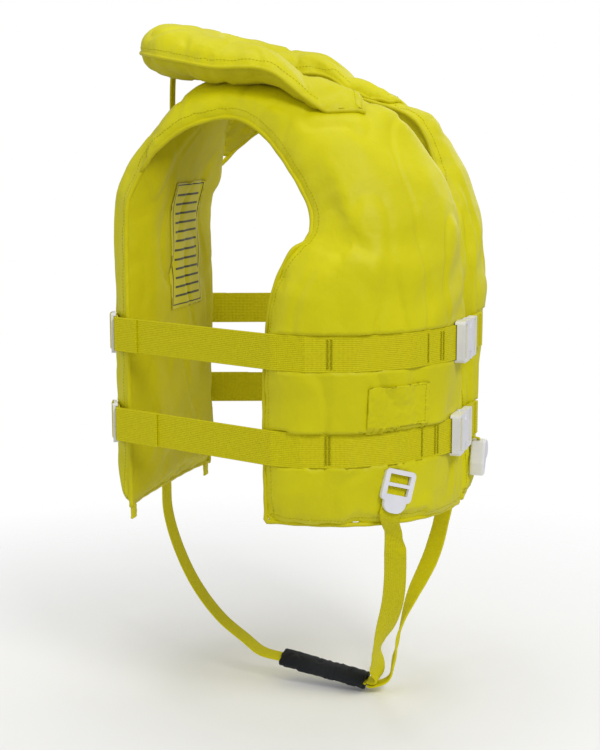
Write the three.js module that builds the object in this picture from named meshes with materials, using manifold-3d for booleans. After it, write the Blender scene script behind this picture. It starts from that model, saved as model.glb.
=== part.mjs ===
// A child's foam life jacket: two front panels with a centre zip, a back panel, a horseshoe head-support
// collar, two webbing belts with side-release buckles, and a crotch strap. Millimetres, +Z up. The wearer
// faces -Y and the wearer's right is -X. The origin is at shoulder height on the wearer's centre line.
import * as THREE from 'three';
import { mergeVertices } from 'three/addons/utils/BufferGeometryUtils.js';
import Module from 'manifold-3d';

// ---- torso ----------------------------------------------------------------------------------------------
const TORSO_HALF_WIDTH = 150;
const FRONT_DEPTH_AT_HEM = 153;
const FRONT_DEPTH_AT_CHEST = 136;
const BACK_DEPTH = 137;
const HEM_Z = -340;
const CHEST_Z = -100;            // where the walls start to lean in over the shoulders
const SHOULDER_RISE = 136;       // from there up to the top of the shoulders
const FORWARD_DROP = 0.17;       // the shoulders slope down toward the front by this much per millimetre
const SIDE_LIFT = 6;
const FRONT_ROUNDNESS = 2.3;
const BACK_ROUNDNESS = 4;
const SHOULDER_ROUNDNESS = 2.6;
const CHEST_FULLNESS = 5.4;      // added to the shoulder roundness at the middle of the chest

// ---- panels ---------------------------------------------------------------------------------------------
const CLEARANCE = 0.3;
const FABRIC = 1.2;
const FRONT_FOAM_OUT = 28;
const FRONT_FOAM_IN = 13;
const BACK_FOAM_OUT = 17;
const BACK_FOAM_IN = 17;
const CLOSURE_HALF_ANGLE = 2.4;
const SHOULDER_SEAM_GAP = 0.4;

// ---- collar ---------------------------------------------------------------------------------------------
const COLLAR_RISE = 18;
const COLLAR_SEAM_Z = FRONT_FOAM_OUT + COLLAR_RISE;
const COLLAR_FOAM_UP = 26;
const COLLAR_FOAM_DOWN = 12;
const COLLAR_BACK_SLOPE = 0.17;
const COLLAR_FRONT_DROP = 0.4;
const COLLAR_DROP_START = 14;
const GRAB_STRAP = { width: 10, thickness: 1.6 };

// ---- belts and their hardware ---------------------------------------------------------------------------
const WEBBING = 1.6;
const BELT_WIDTH = 30;
const BELT_HEIGHTS = { upper: -186, lower: -268 };
const RAIL = 2.5;                // plastic beyond each edge of the webbing
const BUCKLE_HEIGHT = BELT_WIDTH + 2 * (RAIL + 0.5);
const BUCKLE_THICKNESS = 9;
const FEMALE_LENGTH = 36;
const MALE_LENGTH = 18;
const PRONG_LENGTH = 20;
const BUCKLE_RIGHT_END_X = -62;
const WEB_TAB_LENGTH = 52;
const TRIGLIDE_LENGTH = 21;
const TRIGLIDE_BAR = 3.4;
const TAIL_LENGTHS = { upper: 24, lower: 46 };

// ---- crotch strap ---------------------------------------------------------------------------------------
const CROTCH_WIDTH = 20;
const LOCK = { width: 30, height: 37, thickness: 3.4, window: 21, tilt: 16, angle: -44, z: -307 };
const SLEEVE = { radius: 11.5, flatness: 0.7, back: [0, 18, -510], front: [0, -67, -524] };

// ---- small pieces ---------------------------------------------------------------------------------------
const ZIP_TAPE_WIDTH = 4.6;
const ZIP_TAPE_THICKNESS = 1.4;
const WHISTLE = { width: 13, x: 20, y: -166, top: -285, length: 33 };
const POCKET = { width: 60, height: 35, x: -112, z: -232, thickness: 1.6 };
const LABEL = { width: 74, height: 118, z: -112, thickness: 0.6 };

const YELLOW = 0xd9d000;
const WHITE = 0xe4e4f0;
const BLACK = 0x101419;

const wasm = await Module();
wasm.setup();

const { degToRad, lerp, smoothstep } = THREE.MathUtils;
const vector = (x, y, z) => new THREE.Vector3(x, y, z);
const group = new THREE.Group();

function addPiece(name, geometry, color, roughness = 0.8, parent = group) {
  const material = new THREE.MeshStandardMaterial({ color, roughness, metalness: 0 });
  const mesh = new THREE.Mesh(geometry, material);
  mesh.name = name;
  parent.add(mesh);
  return mesh;
}

// ---- joining and cutting --------------------------------------------------------------------------------
function weld(geometry) {
  const positions = new THREE.BufferGeometry();
  positions.setAttribute('position', geometry.getAttribute('position').clone());
  positions.setIndex(geometry.index);
  return mergeVertices(positions, 1e-4);
}

function toSolid(geometry) {
  const merged = weld(geometry);
  const vertProperties = new Float32Array(merged.getAttribute('position').array);
  const triVerts = new Uint32Array(merged.index.array);
  return new wasm.Manifold(new wasm.Mesh({ numProp: 3, vertProperties, triVerts }));
}

function toGeometry(solid) {
  const mesh = solid.getMesh();
  const geometry = new THREE.BufferGeometry();
  geometry.setAttribute('position', new THREE.BufferAttribute(new Float32Array(mesh.vertProperties), 3));
  geometry.setIndex(new THREE.BufferAttribute(new Uint32Array(mesh.triVerts), 1));
  return geometry;
}

function carve(base, joined, removed) {
  let solid = toSolid(base);
  for (const piece of joined) solid = solid.add(toSolid(piece));
  for (const piece of removed) solid = solid.subtract(toSolid(piece));
  return toGeometry(solid);
}

// A box given by its two corners.
function block(x0, x1, y0, y1, z0, z1) {
  const geometry = new THREE.BoxGeometry(x1 - x0, y1 - y0, z1 - z0);
  return geometry.translate((x0 + x1) / 2, (y0 + y1) / 2, (z0 + z1) / 2);
}

// ---- the torso surface ----------------------------------------------------------------------------------
// Angle 0 is the front centre, -90 the wearer's right, 180 the back. Climb -1 is the hem, 0 the chest line
// and 1 the top of the dome.
function torsoPoint(angle, climb) {
  const sine = Math.sin(degToRad(angle));
  const cosine = Math.cos(degToRad(angle));
  const wall = Math.max(-climb, 0);
  const lean = degToRad(90 * Math.max(climb, 0));
  const atFront = cosine > 0;
  const depth = atFront ? lerp(FRONT_DEPTH_AT_CHEST, FRONT_DEPTH_AT_HEM, wall) : BACK_DEPTH;
  const power = atFront ? FRONT_ROUNDNESS : BACK_ROUNDNESS;
  const sum = Math.abs(sine / TORSO_HALF_WIDTH) ** power + Math.abs(cosine / depth) ** power;
  const reach = sum ** (-1 / power);
  const fullness = SHOULDER_ROUNDNESS + CHEST_FULLNESS * Math.max(cosine, 0) ** 4;
  const inward = reach * Math.cos(lean) ** (2 / fullness);
  const y = -inward * cosine;
  const rise = lerp(CHEST_Z, HEM_Z, wall) + SHOULDER_RISE * Math.sin(lean) ** 1.8;
  const hump = SIDE_LIFT * sine * sine * 4 * Math.max(climb, 0) * (1 - Math.max(climb, 0));
  const z = rise + FORWARD_DROP * y * Math.max(1 - wall, 0) + hump;
  return vector(inward * sine, y, z);
}

function torsoNormal(angle, climb) {
  const step = 0.01;
  const around = torsoPoint(angle + 1, climb).sub(torsoPoint(angle - 1, climb));
  const upward = torsoPoint(angle, climb + step).sub(torsoPoint(angle, climb - step));
  return around.cross(upward).normalize();
}

// ---- pillowed panels ------------------------------------------------------------------------------------
const MM_PER_DEGREE = 2.7;
const MM_PER_CLIMB = 240;

// A smooth guide line through (angle, climb) points, stepped by equal lengths on the torso.
function guideLine(points) {
  const flat = points.map(([angle, climb]) => new THREE.Vector2(angle * MM_PER_DEGREE, climb * MM_PER_CLIMB));
  const curve = flat.length > 2 ? new THREE.SplineCurve(flat) : new THREE.LineCurve(flat[0], flat[1]);
  return (share) => {
    const point = curve.getPointAt(THREE.MathUtils.clamp(share, 0, 1));
    return [point.x / MM_PER_DEGREE, point.y / MM_PER_CLIMB];
  };
}

// Shares from 0 to 1, closer together at both ends.
function easedSteps(count) {
  return Array.from({ length: count + 1 }, (_, i) => (1 - Math.cos((Math.PI * i) / count)) / 2);
}

// How far a filled panel swells across its width: nothing at the seams, full in the middle.
function swellAcross(share, power) {
  return Math.sqrt(Math.max(1 - Math.abs(2 * share - 1) ** power, 0));
}

function mirrorX(geometry) {
  const mirrored = weld(geometry).scale(-1, 1, 1);
  const index = Array.from(mirrored.index.array);
  for (let i = 0; i < index.length; i += 3) [index[i], index[i + 1]] = [index[i + 1], index[i]];
  mirrored.setIndex(index);
  return mirrored;
}

// A closed skin between two offsets from a grid of {point, normal, swell} rows, less its outer rings.
function layer(grid, outer, inner, inset = 0) {
  const rows = grid.slice(inset, grid.length - inset).map((row) => row.slice(inset, row.length - inset));
  const width = rows[0].length;
  const cell = ({ point, normal, swell }, offset) => point.clone().addScaledVector(normal, offset(swell));
  const corners = [...rows.flat().map((c) => cell(c, outer)), ...rows.flat().map((c) => cell(c, inner))];
  const below = rows.length * width;
  const index = [];
  const quad = (a, b, c, d) => index.push(a, b, c, a, c, d);
  for (let j = 0; j + 1 < rows.length; j += 1) {
    for (let i = 0; i + 1 < width; i += 1) {
      const at = j * width + i;
      quad(at, at + 1, at + width + 1, at + width);
      index.push(below + at, below + at + width + 1, below + at + 1);
      index.push(below + at, below + at + width, below + at + width + 1);
    }
    const left = j * width;
    const right = left + width - 1;
    quad(left, left + width, below + left + width, below + left);
    quad(right + width, right, below + right, below + right + width);
  }
  for (let i = 0; i + 1 < width; i += 1) {
    const top = (rows.length - 1) * width + i;
    quad(i + 1, i, below + i, below + i + 1);
    quad(top, top + 1, below + top + 1, below + top);
  }
  const geometry = new THREE.BufferGeometry();
  geometry.setAttribute('position', new THREE.Float32BufferAttribute(corners.flatMap((c) => c.toArray()), 3));
  geometry.setIndex(index);
  return geometry;
}

// Cover, foam and lining of one filled panel, stacked with a clearance between them.
function filledPanel(grid, foamOut, foamIn) {
  const half = CLEARANCE / 2;
  return {
    cover: layer(grid, (w) => half + FABRIC + foamOut * w, (w) => half + foamOut * w),
    foam: layer(grid, (w) => foamOut * w - half, (w) => half - foamIn * w, 1),
    lining: layer(grid, (w) => -half - foamIn * w, (w) => -half - FABRIC - foamIn * w),
  };
}

const SHOULDER_END = [-150, 0.765];
const ARMHOLE_END = [-140, 0.32];
const NECKLINE = [[-CLOSURE_HALF_ANGLE, 0.31], [-8, 0.42], [-14, 0.58], [-21, 0.74], [-36, 0.81], [-60, 0.81],
  [-90, 0.8], [-120, 0.79], SHOULDER_END];
const ARMHOLE = [[-83, -0.97], [-83.5, -0.6], [-82.5, -0.28], [-79, -0.08], [-72, 0.1], [-68, 0.25],
  [-71, 0.37], [-80, 0.49],
  [-91, 0.57], [-103, 0.61], [-116, 0.58], [-128, 0.5], ARMHOLE_END];

// The wearer's right front panel: from the hem up the chest and over the shoulder to the back panel.
function frontGrid() {
  const closure = guideLine([[-CLOSURE_HALF_ANGLE, -1], NECKLINE[0]]);
  const neckline = guideLine(NECKLINE);
  const armhole = guideLine(ARMHOLE);
  const throat = 0.5;
  const lower = easedSteps(8).map((s) => s * throat);
  const upper = easedSteps(9).slice(1).map((s) => throat + s * (1 - throat));
  return [...lower, ...upper].map((v) => {
    const inside = v <= throat ? closure(v / throat) : neckline((v - throat) / (1 - throat));
    const outside = armhole(v);
    return easedSteps(8).map((u) => {
      const angle = lerp(inside[0], outside[0], u);
      const climb = lerp(inside[1], outside[1], u);
      const filling = lerp(0.34, 1, smoothstep(v, 0.05, 0.36)) * lerp(1, 0.27, smoothstep(v, 0.5, 0.78));
      const swell = swellAcross(u, 3) * swellAcross(v, 16) * filling;
      return { point: torsoPoint(angle, climb), normal: torsoNormal(angle, climb), swell };
    }).reverse();
  });
}

function backGrid() {
  const gap = SHOULDER_SEAM_GAP;
  const edge = guideLine([[-143.5, -1.02], [-143.5, -0.5], [-143.5, 0], [ARMHOLE_END[0] - gap, ARMHOLE_END[1]]]);
  const seam = guideLine([[ARMHOLE_END[0] - gap, ARMHOLE_END[1]], [SHOULDER_END[0] - gap, SHOULDER_END[1]]]);
  const centre = guideLine([[-180, -1.02], [-180, 0.745]]);
  const corner = 0.76;
  const lower = easedSteps(8).map((s) => s * corner);
  const upper = easedSteps(4).slice(1).map((s) => corner + s * (1 - corner));
  return [...lower, ...upper].map((v) => {
    const outside = v <= corner ? edge(v / corner) : seam((v - corner) / (1 - corner));
    const middle = centre(v);
    return easedSteps(14).map((u) => {
      const away = Math.abs(2 * u - 1);
      const angle = lerp(middle[0], outside[0], away);
      const climb = lerp(middle[1], outside[1], away ** 1.5);
      const side = u < 0.5 ? 1 : -1;
      const point = torsoPoint(angle, climb);
      const normal = torsoNormal(angle, climb);
      point.x *= side;
      normal.x *= side;
      const filling = lerp(1, 0.55, smoothstep(v, 0.6, 1));
      return { point, normal, swell: swellAcross(u, 4) * swellAcross(v, 12) * filling };
    }).reverse();
  });
}

function addPanels() {
  const right = filledPanel(frontGrid(), FRONT_FOAM_OUT, FRONT_FOAM_IN);
  const back = filledPanel(backGrid(), BACK_FOAM_OUT, BACK_FOAM_IN);
  for (const part of ['cover', 'foam', 'lining']) {
    const color = part === 'foam' ? WHITE : YELLOW;
    addPiece(`front_right_${part}`, right[part], color);
    addPiece(`front_left_${part}`, mirrorX(right[part]), color);
    addPiece(`back_${part}`, back[part], color);
  }
  return { right: right.cover, left: mirrorX(right.cover), back: back.cover, backLining: back.lining };
}

const covers = addPanels();

// ---- placing pieces -------------------------------------------------------------------------------------
const MIRROR = new THREE.Matrix4().makeScale(-1, 1, 1);

// A piece on the wearer's right and its mirror image on the left, both placed by the same frame.
function addPair(name, geometry, color, roughness, frame = new THREE.Matrix4()) {
  const right = addPiece(`${name}_right`, geometry, color, roughness);
  right.applyMatrix4(frame);
  const left = addPiece(`${name}_left`, mirrorX(geometry), color, roughness);
  left.applyMatrix4(MIRROR.clone().multiply(frame).multiply(MIRROR));
}

// A flat plate seen from the front: outline in X and Z, thickness from `low` to `high` outward along -Y.
function plate(x0, x1, z0, z1, radius, low, high) {
  const shape = new THREE.Shape();
  shape.moveTo(x0 + radius, z0);
  shape.lineTo(x1 - radius, z0);
  shape.absarc(x1 - radius, z0 + radius, radius, -Math.PI / 2, 0);
  shape.lineTo(x1, z1 - radius);
  shape.absarc(x1 - radius, z1 - radius, radius, 0, Math.PI / 2);
  shape.lineTo(x0 + radius, z1);
  shape.absarc(x0 + radius, z1 - radius, radius, Math.PI / 2, Math.PI);
  shape.lineTo(x0, z0 + radius);
  shape.absarc(x0 + radius, z0 + radius, radius, Math.PI, 1.5 * Math.PI);
  const settings = { depth: high - low, bevelEnabled: false, curveSegments: 4 };
  return new THREE.ExtrudeGeometry(shape, settings).rotateX(Math.PI / 2).translate(0, -low, 0);
}

const cutBox = (x0, x1, z0, z1, low, high) => block(x0, x1, -high, -low, z0, z1);

// A flat strip of webbing along a path, with its width direction given at each path point.
function ribbon(points, across, width, thickness, steps) {
  const path = new THREE.CatmullRomCurve3(points, false, 'centripetal');
  const corners = [];
  const index = [];
  for (let i = 0; i <= steps; i += 1) {
    const share = i / steps;
    const place = path.getPoint(share);
    const forward = path.getTangent(share);
    const slot = Math.min(share * (across.length - 1), across.length - 1.001);
    const side = across[Math.floor(slot)].clone().lerp(across[Math.floor(slot) + 1], slot % 1);
    const face = forward.clone().cross(side).normalize();
    side.crossVectors(face, forward).normalize();
    for (const [a, b] of [[-1, -1], [1, -1], [1, 1], [-1, 1]]) {
      corners.push(place.clone().addScaledVector(side, (a * width) / 2).addScaledVector(face, (b * thickness) / 2));
    }
    if (i === steps) continue;
    for (let k = 0; k < 4; k += 1) {
      const [a, b] = [4 * i + k, 4 * i + ((k + 1) % 4)];
      index.push(a, b, b + 4, a, b + 4, a + 4);
    }
  }
  const last = 4 * steps;
  index.push(0, 2, 1, 0, 3, 2, last, last + 1, last + 2, last, last + 2, last + 3);
  const geometry = new THREE.BufferGeometry();
  geometry.setAttribute('position', new THREE.Float32BufferAttribute(corners.flatMap((c) => c.toArray()), 3));
  geometry.setIndex(index);
  return geometry;
}

// ---- the belt line --------------------------------------------------------------------------------------
function pointsInBand(geometry, low, high) {
  const position = geometry.getAttribute('position');
  const index = geometry.index.array;
  const found = [];
  for (let i = 0; i < index.length; i += 1) {
    const next = i % 3 === 2 ? i - 2 : i + 1;
    const a = new THREE.Vector3().fromBufferAttribute(position, index[i]);
    const b = new THREE.Vector3().fromBufferAttribute(position, index[next]);
    if (Math.max(a.z, b.z) < low || Math.min(a.z, b.z) > high) continue;
    for (const level of [low, high, a.z, b.z]) {
      const share = Math.abs(b.z - a.z) < 1e-6 ? 0 : (level - a.z) / (b.z - a.z);
      const point = a.clone().lerp(b, THREE.MathUtils.clamp(share, 0, 1));
      if (point.z > low - 1e-4 && point.z < high + 1e-4) found.push(new THREE.Vector2(point.x, point.y));
    }
  }
  return found;
}

// The points of a taut loop around others, anticlockwise seen from above.
function tautLoop(points) {
  const sorted = [...points].sort((a, b) => a.x - b.x || a.y - b.y);
  const turn = (o, a, b) => (a.x - o.x) * (b.y - o.y) - (a.y - o.y) * (b.x - o.x);
  const chain = (list) => {
    const kept = [];
    for (const point of list) {
      while (kept.length > 1 && turn(kept.at(-2), kept.at(-1), point) <= 1e-6) kept.pop();
      kept.push(point);
    }
    return kept.slice(0, -1);
  };
  return [...chain(sorted), ...chain([...sorted].reverse())];
}

const TRIGLIDE_FACING = degToRad(27);
const trigOut = new THREE.Vector2(-Math.sin(TRIGLIDE_FACING), Math.cos(TRIGLIDE_FACING));
const trigAlong = new THREE.Vector2(trigOut.y, -trigOut.x);
const TRIGLIDE_SEAT = TRIGLIDE_LENGTH / 2 + 4;

// The line that a taut belt takes round the jacket at one height, flat under each tri-glide.
function beltLine(height) {
  const low = height - BELT_WIDTH / 2;
  const high = height + BELT_WIDTH / 2;
  const touched = [covers.right, covers.left, covers.back].flatMap((cover) => pointsInBand(cover, low, high));
  const seat = touched.reduce((best, point) => (point.dot(trigOut) > best.dot(trigOut) ? point : best));
  for (const shift of [-TRIGLIDE_SEAT, TRIGLIDE_SEAT]) {
    const end = seat.clone().addScaledVector(trigAlong, shift);
    touched.push(end, new THREE.Vector2(-end.x, end.y));
  }
  const loop = tautLoop(touched);
  const frontY = Math.min(...loop.map((point) => point.y));
  return { loop, seat, frontY, height };
}

// The outline of webbing on the loop from one point to another, between two offsets outward. Both points
// lie on straight stretches of the loop.
function stretch(line, start, end, inner, outer) {
  const { loop } = line;
  const onEdge = (point) => {
    let best = 0;
    let nearest = Infinity;
    loop.forEach((a, i) => {
      const b = loop[(i + 1) % loop.length];
      const share = THREE.MathUtils.clamp(point.clone().sub(a).dot(b.clone().sub(a)) / a.distanceToSquared(b), 0, 1);
      const gap = a.clone().lerp(b, share).distanceTo(point);
      if (gap < nearest - 1e-6) [nearest, best] = [gap, i];
    });
    return best;
  };
  const edgeNormal = (i) => {
    const way = loop[(i + 1) % loop.length].clone().sub(loop[i]).normalize();
    return new THREE.Vector2(way.y, -way.x);
  };
  const first = onEdge(start);
  const last = onEdge(end);
  const stations = [{ point: start, out: edgeNormal(first) }];
  for (let i = first; i !== last; i = (i + 1) % loop.length) {
    const [n1, n2] = [edgeNormal(i), edgeNormal((i + 1) % loop.length)];
    const out = n1.clone().add(n2).divideScalar(1 + n1.dot(n2));
    stations.push({ point: loop[(i + 1) % loop.length], out });
  }
  stations.push({ point: end, out: edgeNormal(last) });
  const at = (offset) => stations.map(({ point, out }) => point.clone().addScaledVector(out, offset));
  return { inside: at(inner), outside: at(outer) };
}

// The point a given distance further along a loop from one of its corners.
function walk(loop, corner, distance) {
  let at = loop.findIndex((point) => point.distanceTo(corner) < 0.01);
  let left = distance;
  for (;;) {
    const [here, next] = [loop[at], loop[(at + 1) % loop.length]];
    const length = here.distanceTo(next);
    if (length >= left) return here.clone().lerp(next, left / length);
    left -= length;
    at = (at + 1) % loop.length;
  }
}

function webbing(outline, height) {
  const shape = new THREE.Shape(outline);
  const settings = { depth: BELT_WIDTH, bevelEnabled: false };
  return new THREE.ExtrudeGeometry(shape, settings).translate(0, 0, height - BELT_WIDTH / 2);
}

// ---- belts ----------------------------------------------------------------------------------------------
const WEB_IN = CLEARANCE;
const WEB_OUT = WEB_IN + WEBBING;
const BAR_IN = WEB_OUT + 0.4;
const BAR_OUT = BAR_IN + 2.9;
const OVER_IN = BAR_OUT + 0.4;
const OVER_OUT = OVER_IN + WEBBING;
const TAIL_IN = WEB_OUT + 0.5;
const TAIL_OUT = TAIL_IN + WEBBING;
const BAR_X = TRIGLIDE_LENGTH / 2 - TRIGLIDE_BAR / 2;
const BAR_CLEAR = TRIGLIDE_BAR / 2 + CLEARANCE;
const WINDOW_WALL = 4;
const WINDOW = 8;

// A point given in a tri-glide's own frame: along the belt toward the back centre, and outward.
function trigPoint(line, along, out) {
  return line.seat.clone().addScaledVector(trigAlong, along).addScaledVector(trigOut, out);
}

const flip = (points) => points.map((point) => new THREE.Vector2(-point.x, point.y)).reverse();

function addBelts(level, line) {
  const { frontY, height } = line;
  const front = (x, out) => new THREE.Vector2(x, frontY - out);
  const wrapX = BUCKLE_RIGHT_END_X + WINDOW_WALL + CLEARANCE;
  const wrapEnd = BUCKLE_RIGHT_END_X + WINDOW_WALL + WINDOW - CLEARANCE;
  const wrapTop = BUCKLE_THICKNESS - 1.5;
  const underBar = trigPoint(line, BAR_CLEAR - CLEARANCE, 0);
  const rightRun = stretch(line, underBar, front(wrapEnd, 0), WEB_IN, WEB_OUT);
  const rightBelt = [...rightRun.inside, front(wrapEnd, wrapTop), front(wrapX, wrapTop), front(wrapX, WEB_OUT),
    ...rightRun.outside.slice(0, -1).reverse()];
  addPiece(`belt_${level}_right`, webbing(rightBelt, height), YELLOW);

  const leftStart = BUCKLE_RIGHT_END_X + FEMALE_LENGTH + 3;
  const leftRun = stretch(line, front(leftStart, 0), new THREE.Vector2(-underBar.x, underBar.y), WEB_IN, WEB_OUT);
  addPiece(`belt_${level}_left`, webbing([...leftRun.inside, ...leftRun.outside.reverse()], height), YELLOW);

  const hookX = BAR_X - BAR_CLEAR;
  const hookOuter = hookX - WEBBING;
  const sewnEnd = TRIGLIDE_LENGTH / 2 + 15;
  const hook = [trigPoint(line, hookOuter, WEB_IN), trigPoint(line, hookOuter, OVER_OUT),
    trigPoint(line, TRIGLIDE_LENGTH / 2 + 1, OVER_OUT), trigPoint(line, sewnEnd, TAIL_OUT + 1.6),
    trigPoint(line, sewnEnd, TAIL_IN + 1.2), trigPoint(line, TRIGLIDE_LENGTH / 2 + 1, OVER_IN),
    trigPoint(line, hookX, OVER_IN), trigPoint(line, hookX, WEB_OUT)];
  const hookEnd = trigPoint(line, hookX, 0);
  const backRun = stretch(line, new THREE.Vector2(-hookEnd.x, hookEnd.y), hookEnd, WEB_IN, WEB_OUT);
  const backBelt = [...backRun.inside, ...hook, ...backRun.outside.slice(1, -1).reverse(), ...flip(hook)];
  addPiece(`belt_${level}_back`, webbing(backBelt, height), YELLOW);

  const corner = trigPoint(line, -TRIGLIDE_SEAT, 0);
  const tip = walk(line.loop, corner, TAIL_LENGTHS[level]);
  const tailRun = stretch(line, trigPoint(line, -BAR_X + BAR_CLEAR, 0), tip, TAIL_IN, TAIL_OUT);
  const turnInner = BAR_CLEAR;
  const turnOuter = BAR_CLEAR + WEBBING;
  const tail = [trigPoint(line, turnInner, WEB_IN), trigPoint(line, turnOuter, WEB_IN),
    trigPoint(line, turnOuter, OVER_OUT), trigPoint(line, -BAR_CLEAR, OVER_OUT),
    ...tailRun.outside, ...tailRun.inside.reverse(), trigPoint(line, -BAR_CLEAR, OVER_IN),
    trigPoint(line, turnInner, OVER_IN)];
  addPair(`tail_${level}`, webbing(tail, 0), YELLOW, 0.8, new THREE.Matrix4().makeTranslation(0, 0, height));
}

function trigFrame(line) {
  const turn = new THREE.Matrix4().makeRotationZ(Math.PI + TRIGLIDE_FACING);
  return new THREE.Matrix4().makeTranslation(line.seat.x, line.seat.y, line.height).multiply(turn);
}

// A slider of two rails and three bars. Its own X runs along the belt toward the front.
function triglide() {
  const half = BUCKLE_HEIGHT / 2;
  const end = TRIGLIDE_LENGTH / 2;
  const webHalf = BELT_WIDTH / 2 + 0.5;
  const body = plate(-end, end, -half, half, 3, BAR_IN, BAR_OUT);
  const rise = TAIL_OUT + 0.4;
  const frontBar = plate(end - TRIGLIDE_BAR, end, -half, half, 1.5, BAR_IN, rise + 2.4);
  const gap = (x0, x1) => cutBox(x0, x1, -webHalf, webHalf, 0, rise + 6);
  const inner = TRIGLIDE_BAR / 2;
  const windows = [gap(-end + TRIGLIDE_BAR, -inner), gap(inner, end - TRIGLIDE_BAR)];
  const tailGap = cutBox(end - TRIGLIDE_BAR - 1, end + 1, -webHalf, webHalf, 0, rise);
  return carve(body, [frontBar], [...windows, tailGap]);
}

// ---- buckles --------------------------------------------------------------------------------------------
const BUCKLE_JOIN_X = BUCKLE_RIGHT_END_X + FEMALE_LENGTH;
const MALE_START_X = BUCKLE_JOIN_X + 0.4;
const MALE_END_X = BUCKLE_JOIN_X + MALE_LENGTH;
const PRONG_LOW = 3;
const PRONG_HIGH = 6.4;
const ARM_INNER = 6;
const ARM_OUTER = 9.6;
const HEAD_OUTER = 12.4;

function buckleFemale() {
  const half = BUCKLE_HEIGHT / 2;
  const webHalf = BELT_WIDTH / 2 + 0.5;
  const windowX = BUCKLE_RIGHT_END_X + WINDOW_WALL;
  const body = plate(BUCKLE_RIGHT_END_X, BUCKLE_JOIN_X, -half, half, 3.5, CLEARANCE, BUCKLE_THICKNESS);
  const window = cutBox(windowX, windowX + WINDOW, -webHalf, webHalf, 0, BUCKLE_THICKNESS + 1);
  const webSlot = cutBox(BUCKLE_RIGHT_END_X - 1, windowX + 1, -webHalf, webHalf, 0, WEB_OUT + CLEARANCE);
  const cavity = cutBox(BUCKLE_JOIN_X - PRONG_LENGTH - 1, BUCKLE_JOIN_X + 1, -HEAD_OUTER - 0.5, HEAD_OUTER + 0.5,
    PRONG_LOW - 0.4, PRONG_HIGH + 0.4);
  const notches = [1, -1].map((side) => {
    const [near, far] = [side * (HEAD_OUTER - 2), side * (half + 1)];
    return cutBox(BUCKLE_JOIN_X - 14, BUCKLE_JOIN_X - 6, Math.min(near, far), Math.max(near, far),
      PRONG_LOW - 0.4, BUCKLE_THICKNESS + 1);
  });
  return carve(body, [], [window, webSlot, cavity, ...notches]);
}

function buckleMale() {
  const half = BUCKLE_HEIGHT / 2 - 0.6;
  const webHalf = BELT_WIDTH / 2 + 0.5;
  const windowX = MALE_START_X + 6.5;
  const base = plate(MALE_START_X, MALE_END_X, -half, half, 2.5, WEB_OUT + CLEARANCE, BUCKLE_THICKNESS - 0.4);
  const guide = cutBox(BUCKLE_JOIN_X - PRONG_LENGTH + 2, MALE_START_X + 1, -2.2, 2.2, PRONG_LOW, PRONG_HIGH);
  const window = cutBox(windowX, windowX + 6.6, -webHalf, webHalf, 0, BUCKLE_THICKNESS + 1);
  const webSlot = cutBox(windowX + 1, MALE_END_X + 1, -webHalf, webHalf, 0, TAIL_OUT + CLEARANCE);
  return carve(base, [guide], [window, webSlot]);
}

// The upper squeeze arm with the head that shows in the side notch.
function latchArm() {
  const armEnd = BUCKLE_JOIN_X - PRONG_LENGTH + 1;
  const arm = cutBox(armEnd, BUCKLE_JOIN_X + 0.1, ARM_INNER, ARM_OUTER, PRONG_LOW, PRONG_HIGH);
  const headEnd = BUCKLE_JOIN_X - 14.6;
  const head = cutBox(headEnd, headEnd + 8, ARM_OUTER - 1, HEAD_OUTER, PRONG_LOW, PRONG_HIGH);
  return carve(arm, [head], []);
}

function buckleWebTab() {
  const wrapX = MALE_START_X + 6.5 + CLEARANCE;
  const wrapEnd = wrapX + 6;
  const half = BELT_WIDTH / 2;
  const strip = cutBox(wrapX, wrapX + WEB_TAB_LENGTH, -half, half, TAIL_IN, TAIL_OUT);
  const wrap = cutBox(wrapX, wrapEnd, -half, half, TAIL_IN, BUCKLE_THICKNESS - 2);
  const hemEnd = wrapX + WEB_TAB_LENGTH;
  const hem = cutBox(hemEnd - 7, hemEnd, -half, half, TAIL_IN, TAIL_OUT + WEBBING);
  return carve(strip, [wrap, hem], []);
}

function addBuckle(level, line) {
  const pieces = new THREE.Group();
  pieces.position.set(0, line.frontY, line.height);
  group.add(pieces);
  addPiece(`buckle_${level}_female`, buckleFemale(), WHITE, 0.35, pieces);
  addPiece(`buckle_${level}_male`, buckleMale(), WHITE, 0.35, pieces);
  addPiece(`buckle_${level}_web_tab`, buckleWebTab(), YELLOW, 0.8, pieces);
  const arm = latchArm();
  addPiece(`latch_arm_${level}_top`, arm, WHITE, 0.35, pieces);
  const lowerArm = addPiece(`latch_arm_${level}_bottom`, arm.clone().rotateX(Math.PI), WHITE, 0.35, pieces);
  lowerArm.position.y = -(PRONG_LOW + PRONG_HIGH);
}

const lines = {};
for (const [level, height] of Object.entries(BELT_HEIGHTS)) {
  lines[level] = beltLine(height);
  addBelts(level, lines[level]);
  addPair(`triglide_${level}`, triglide(), WHITE, 0.35, trigFrame(lines[level]));
  addBuckle(level, lines[level]);
}

// ---- pieces that lie on a panel -------------------------------------------------------------------------
// The climb at which the torso surface reaches a height.
function climbAt(angle, z) {
  let [low, high] = [-1, 0.6];
  for (let i = 0; i < 40; i += 1) {
    const middle = (low + high) / 2;
    if (torsoPoint(angle, middle).z < z) low = middle;
    else high = middle;
  }
  return low;
}

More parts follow.
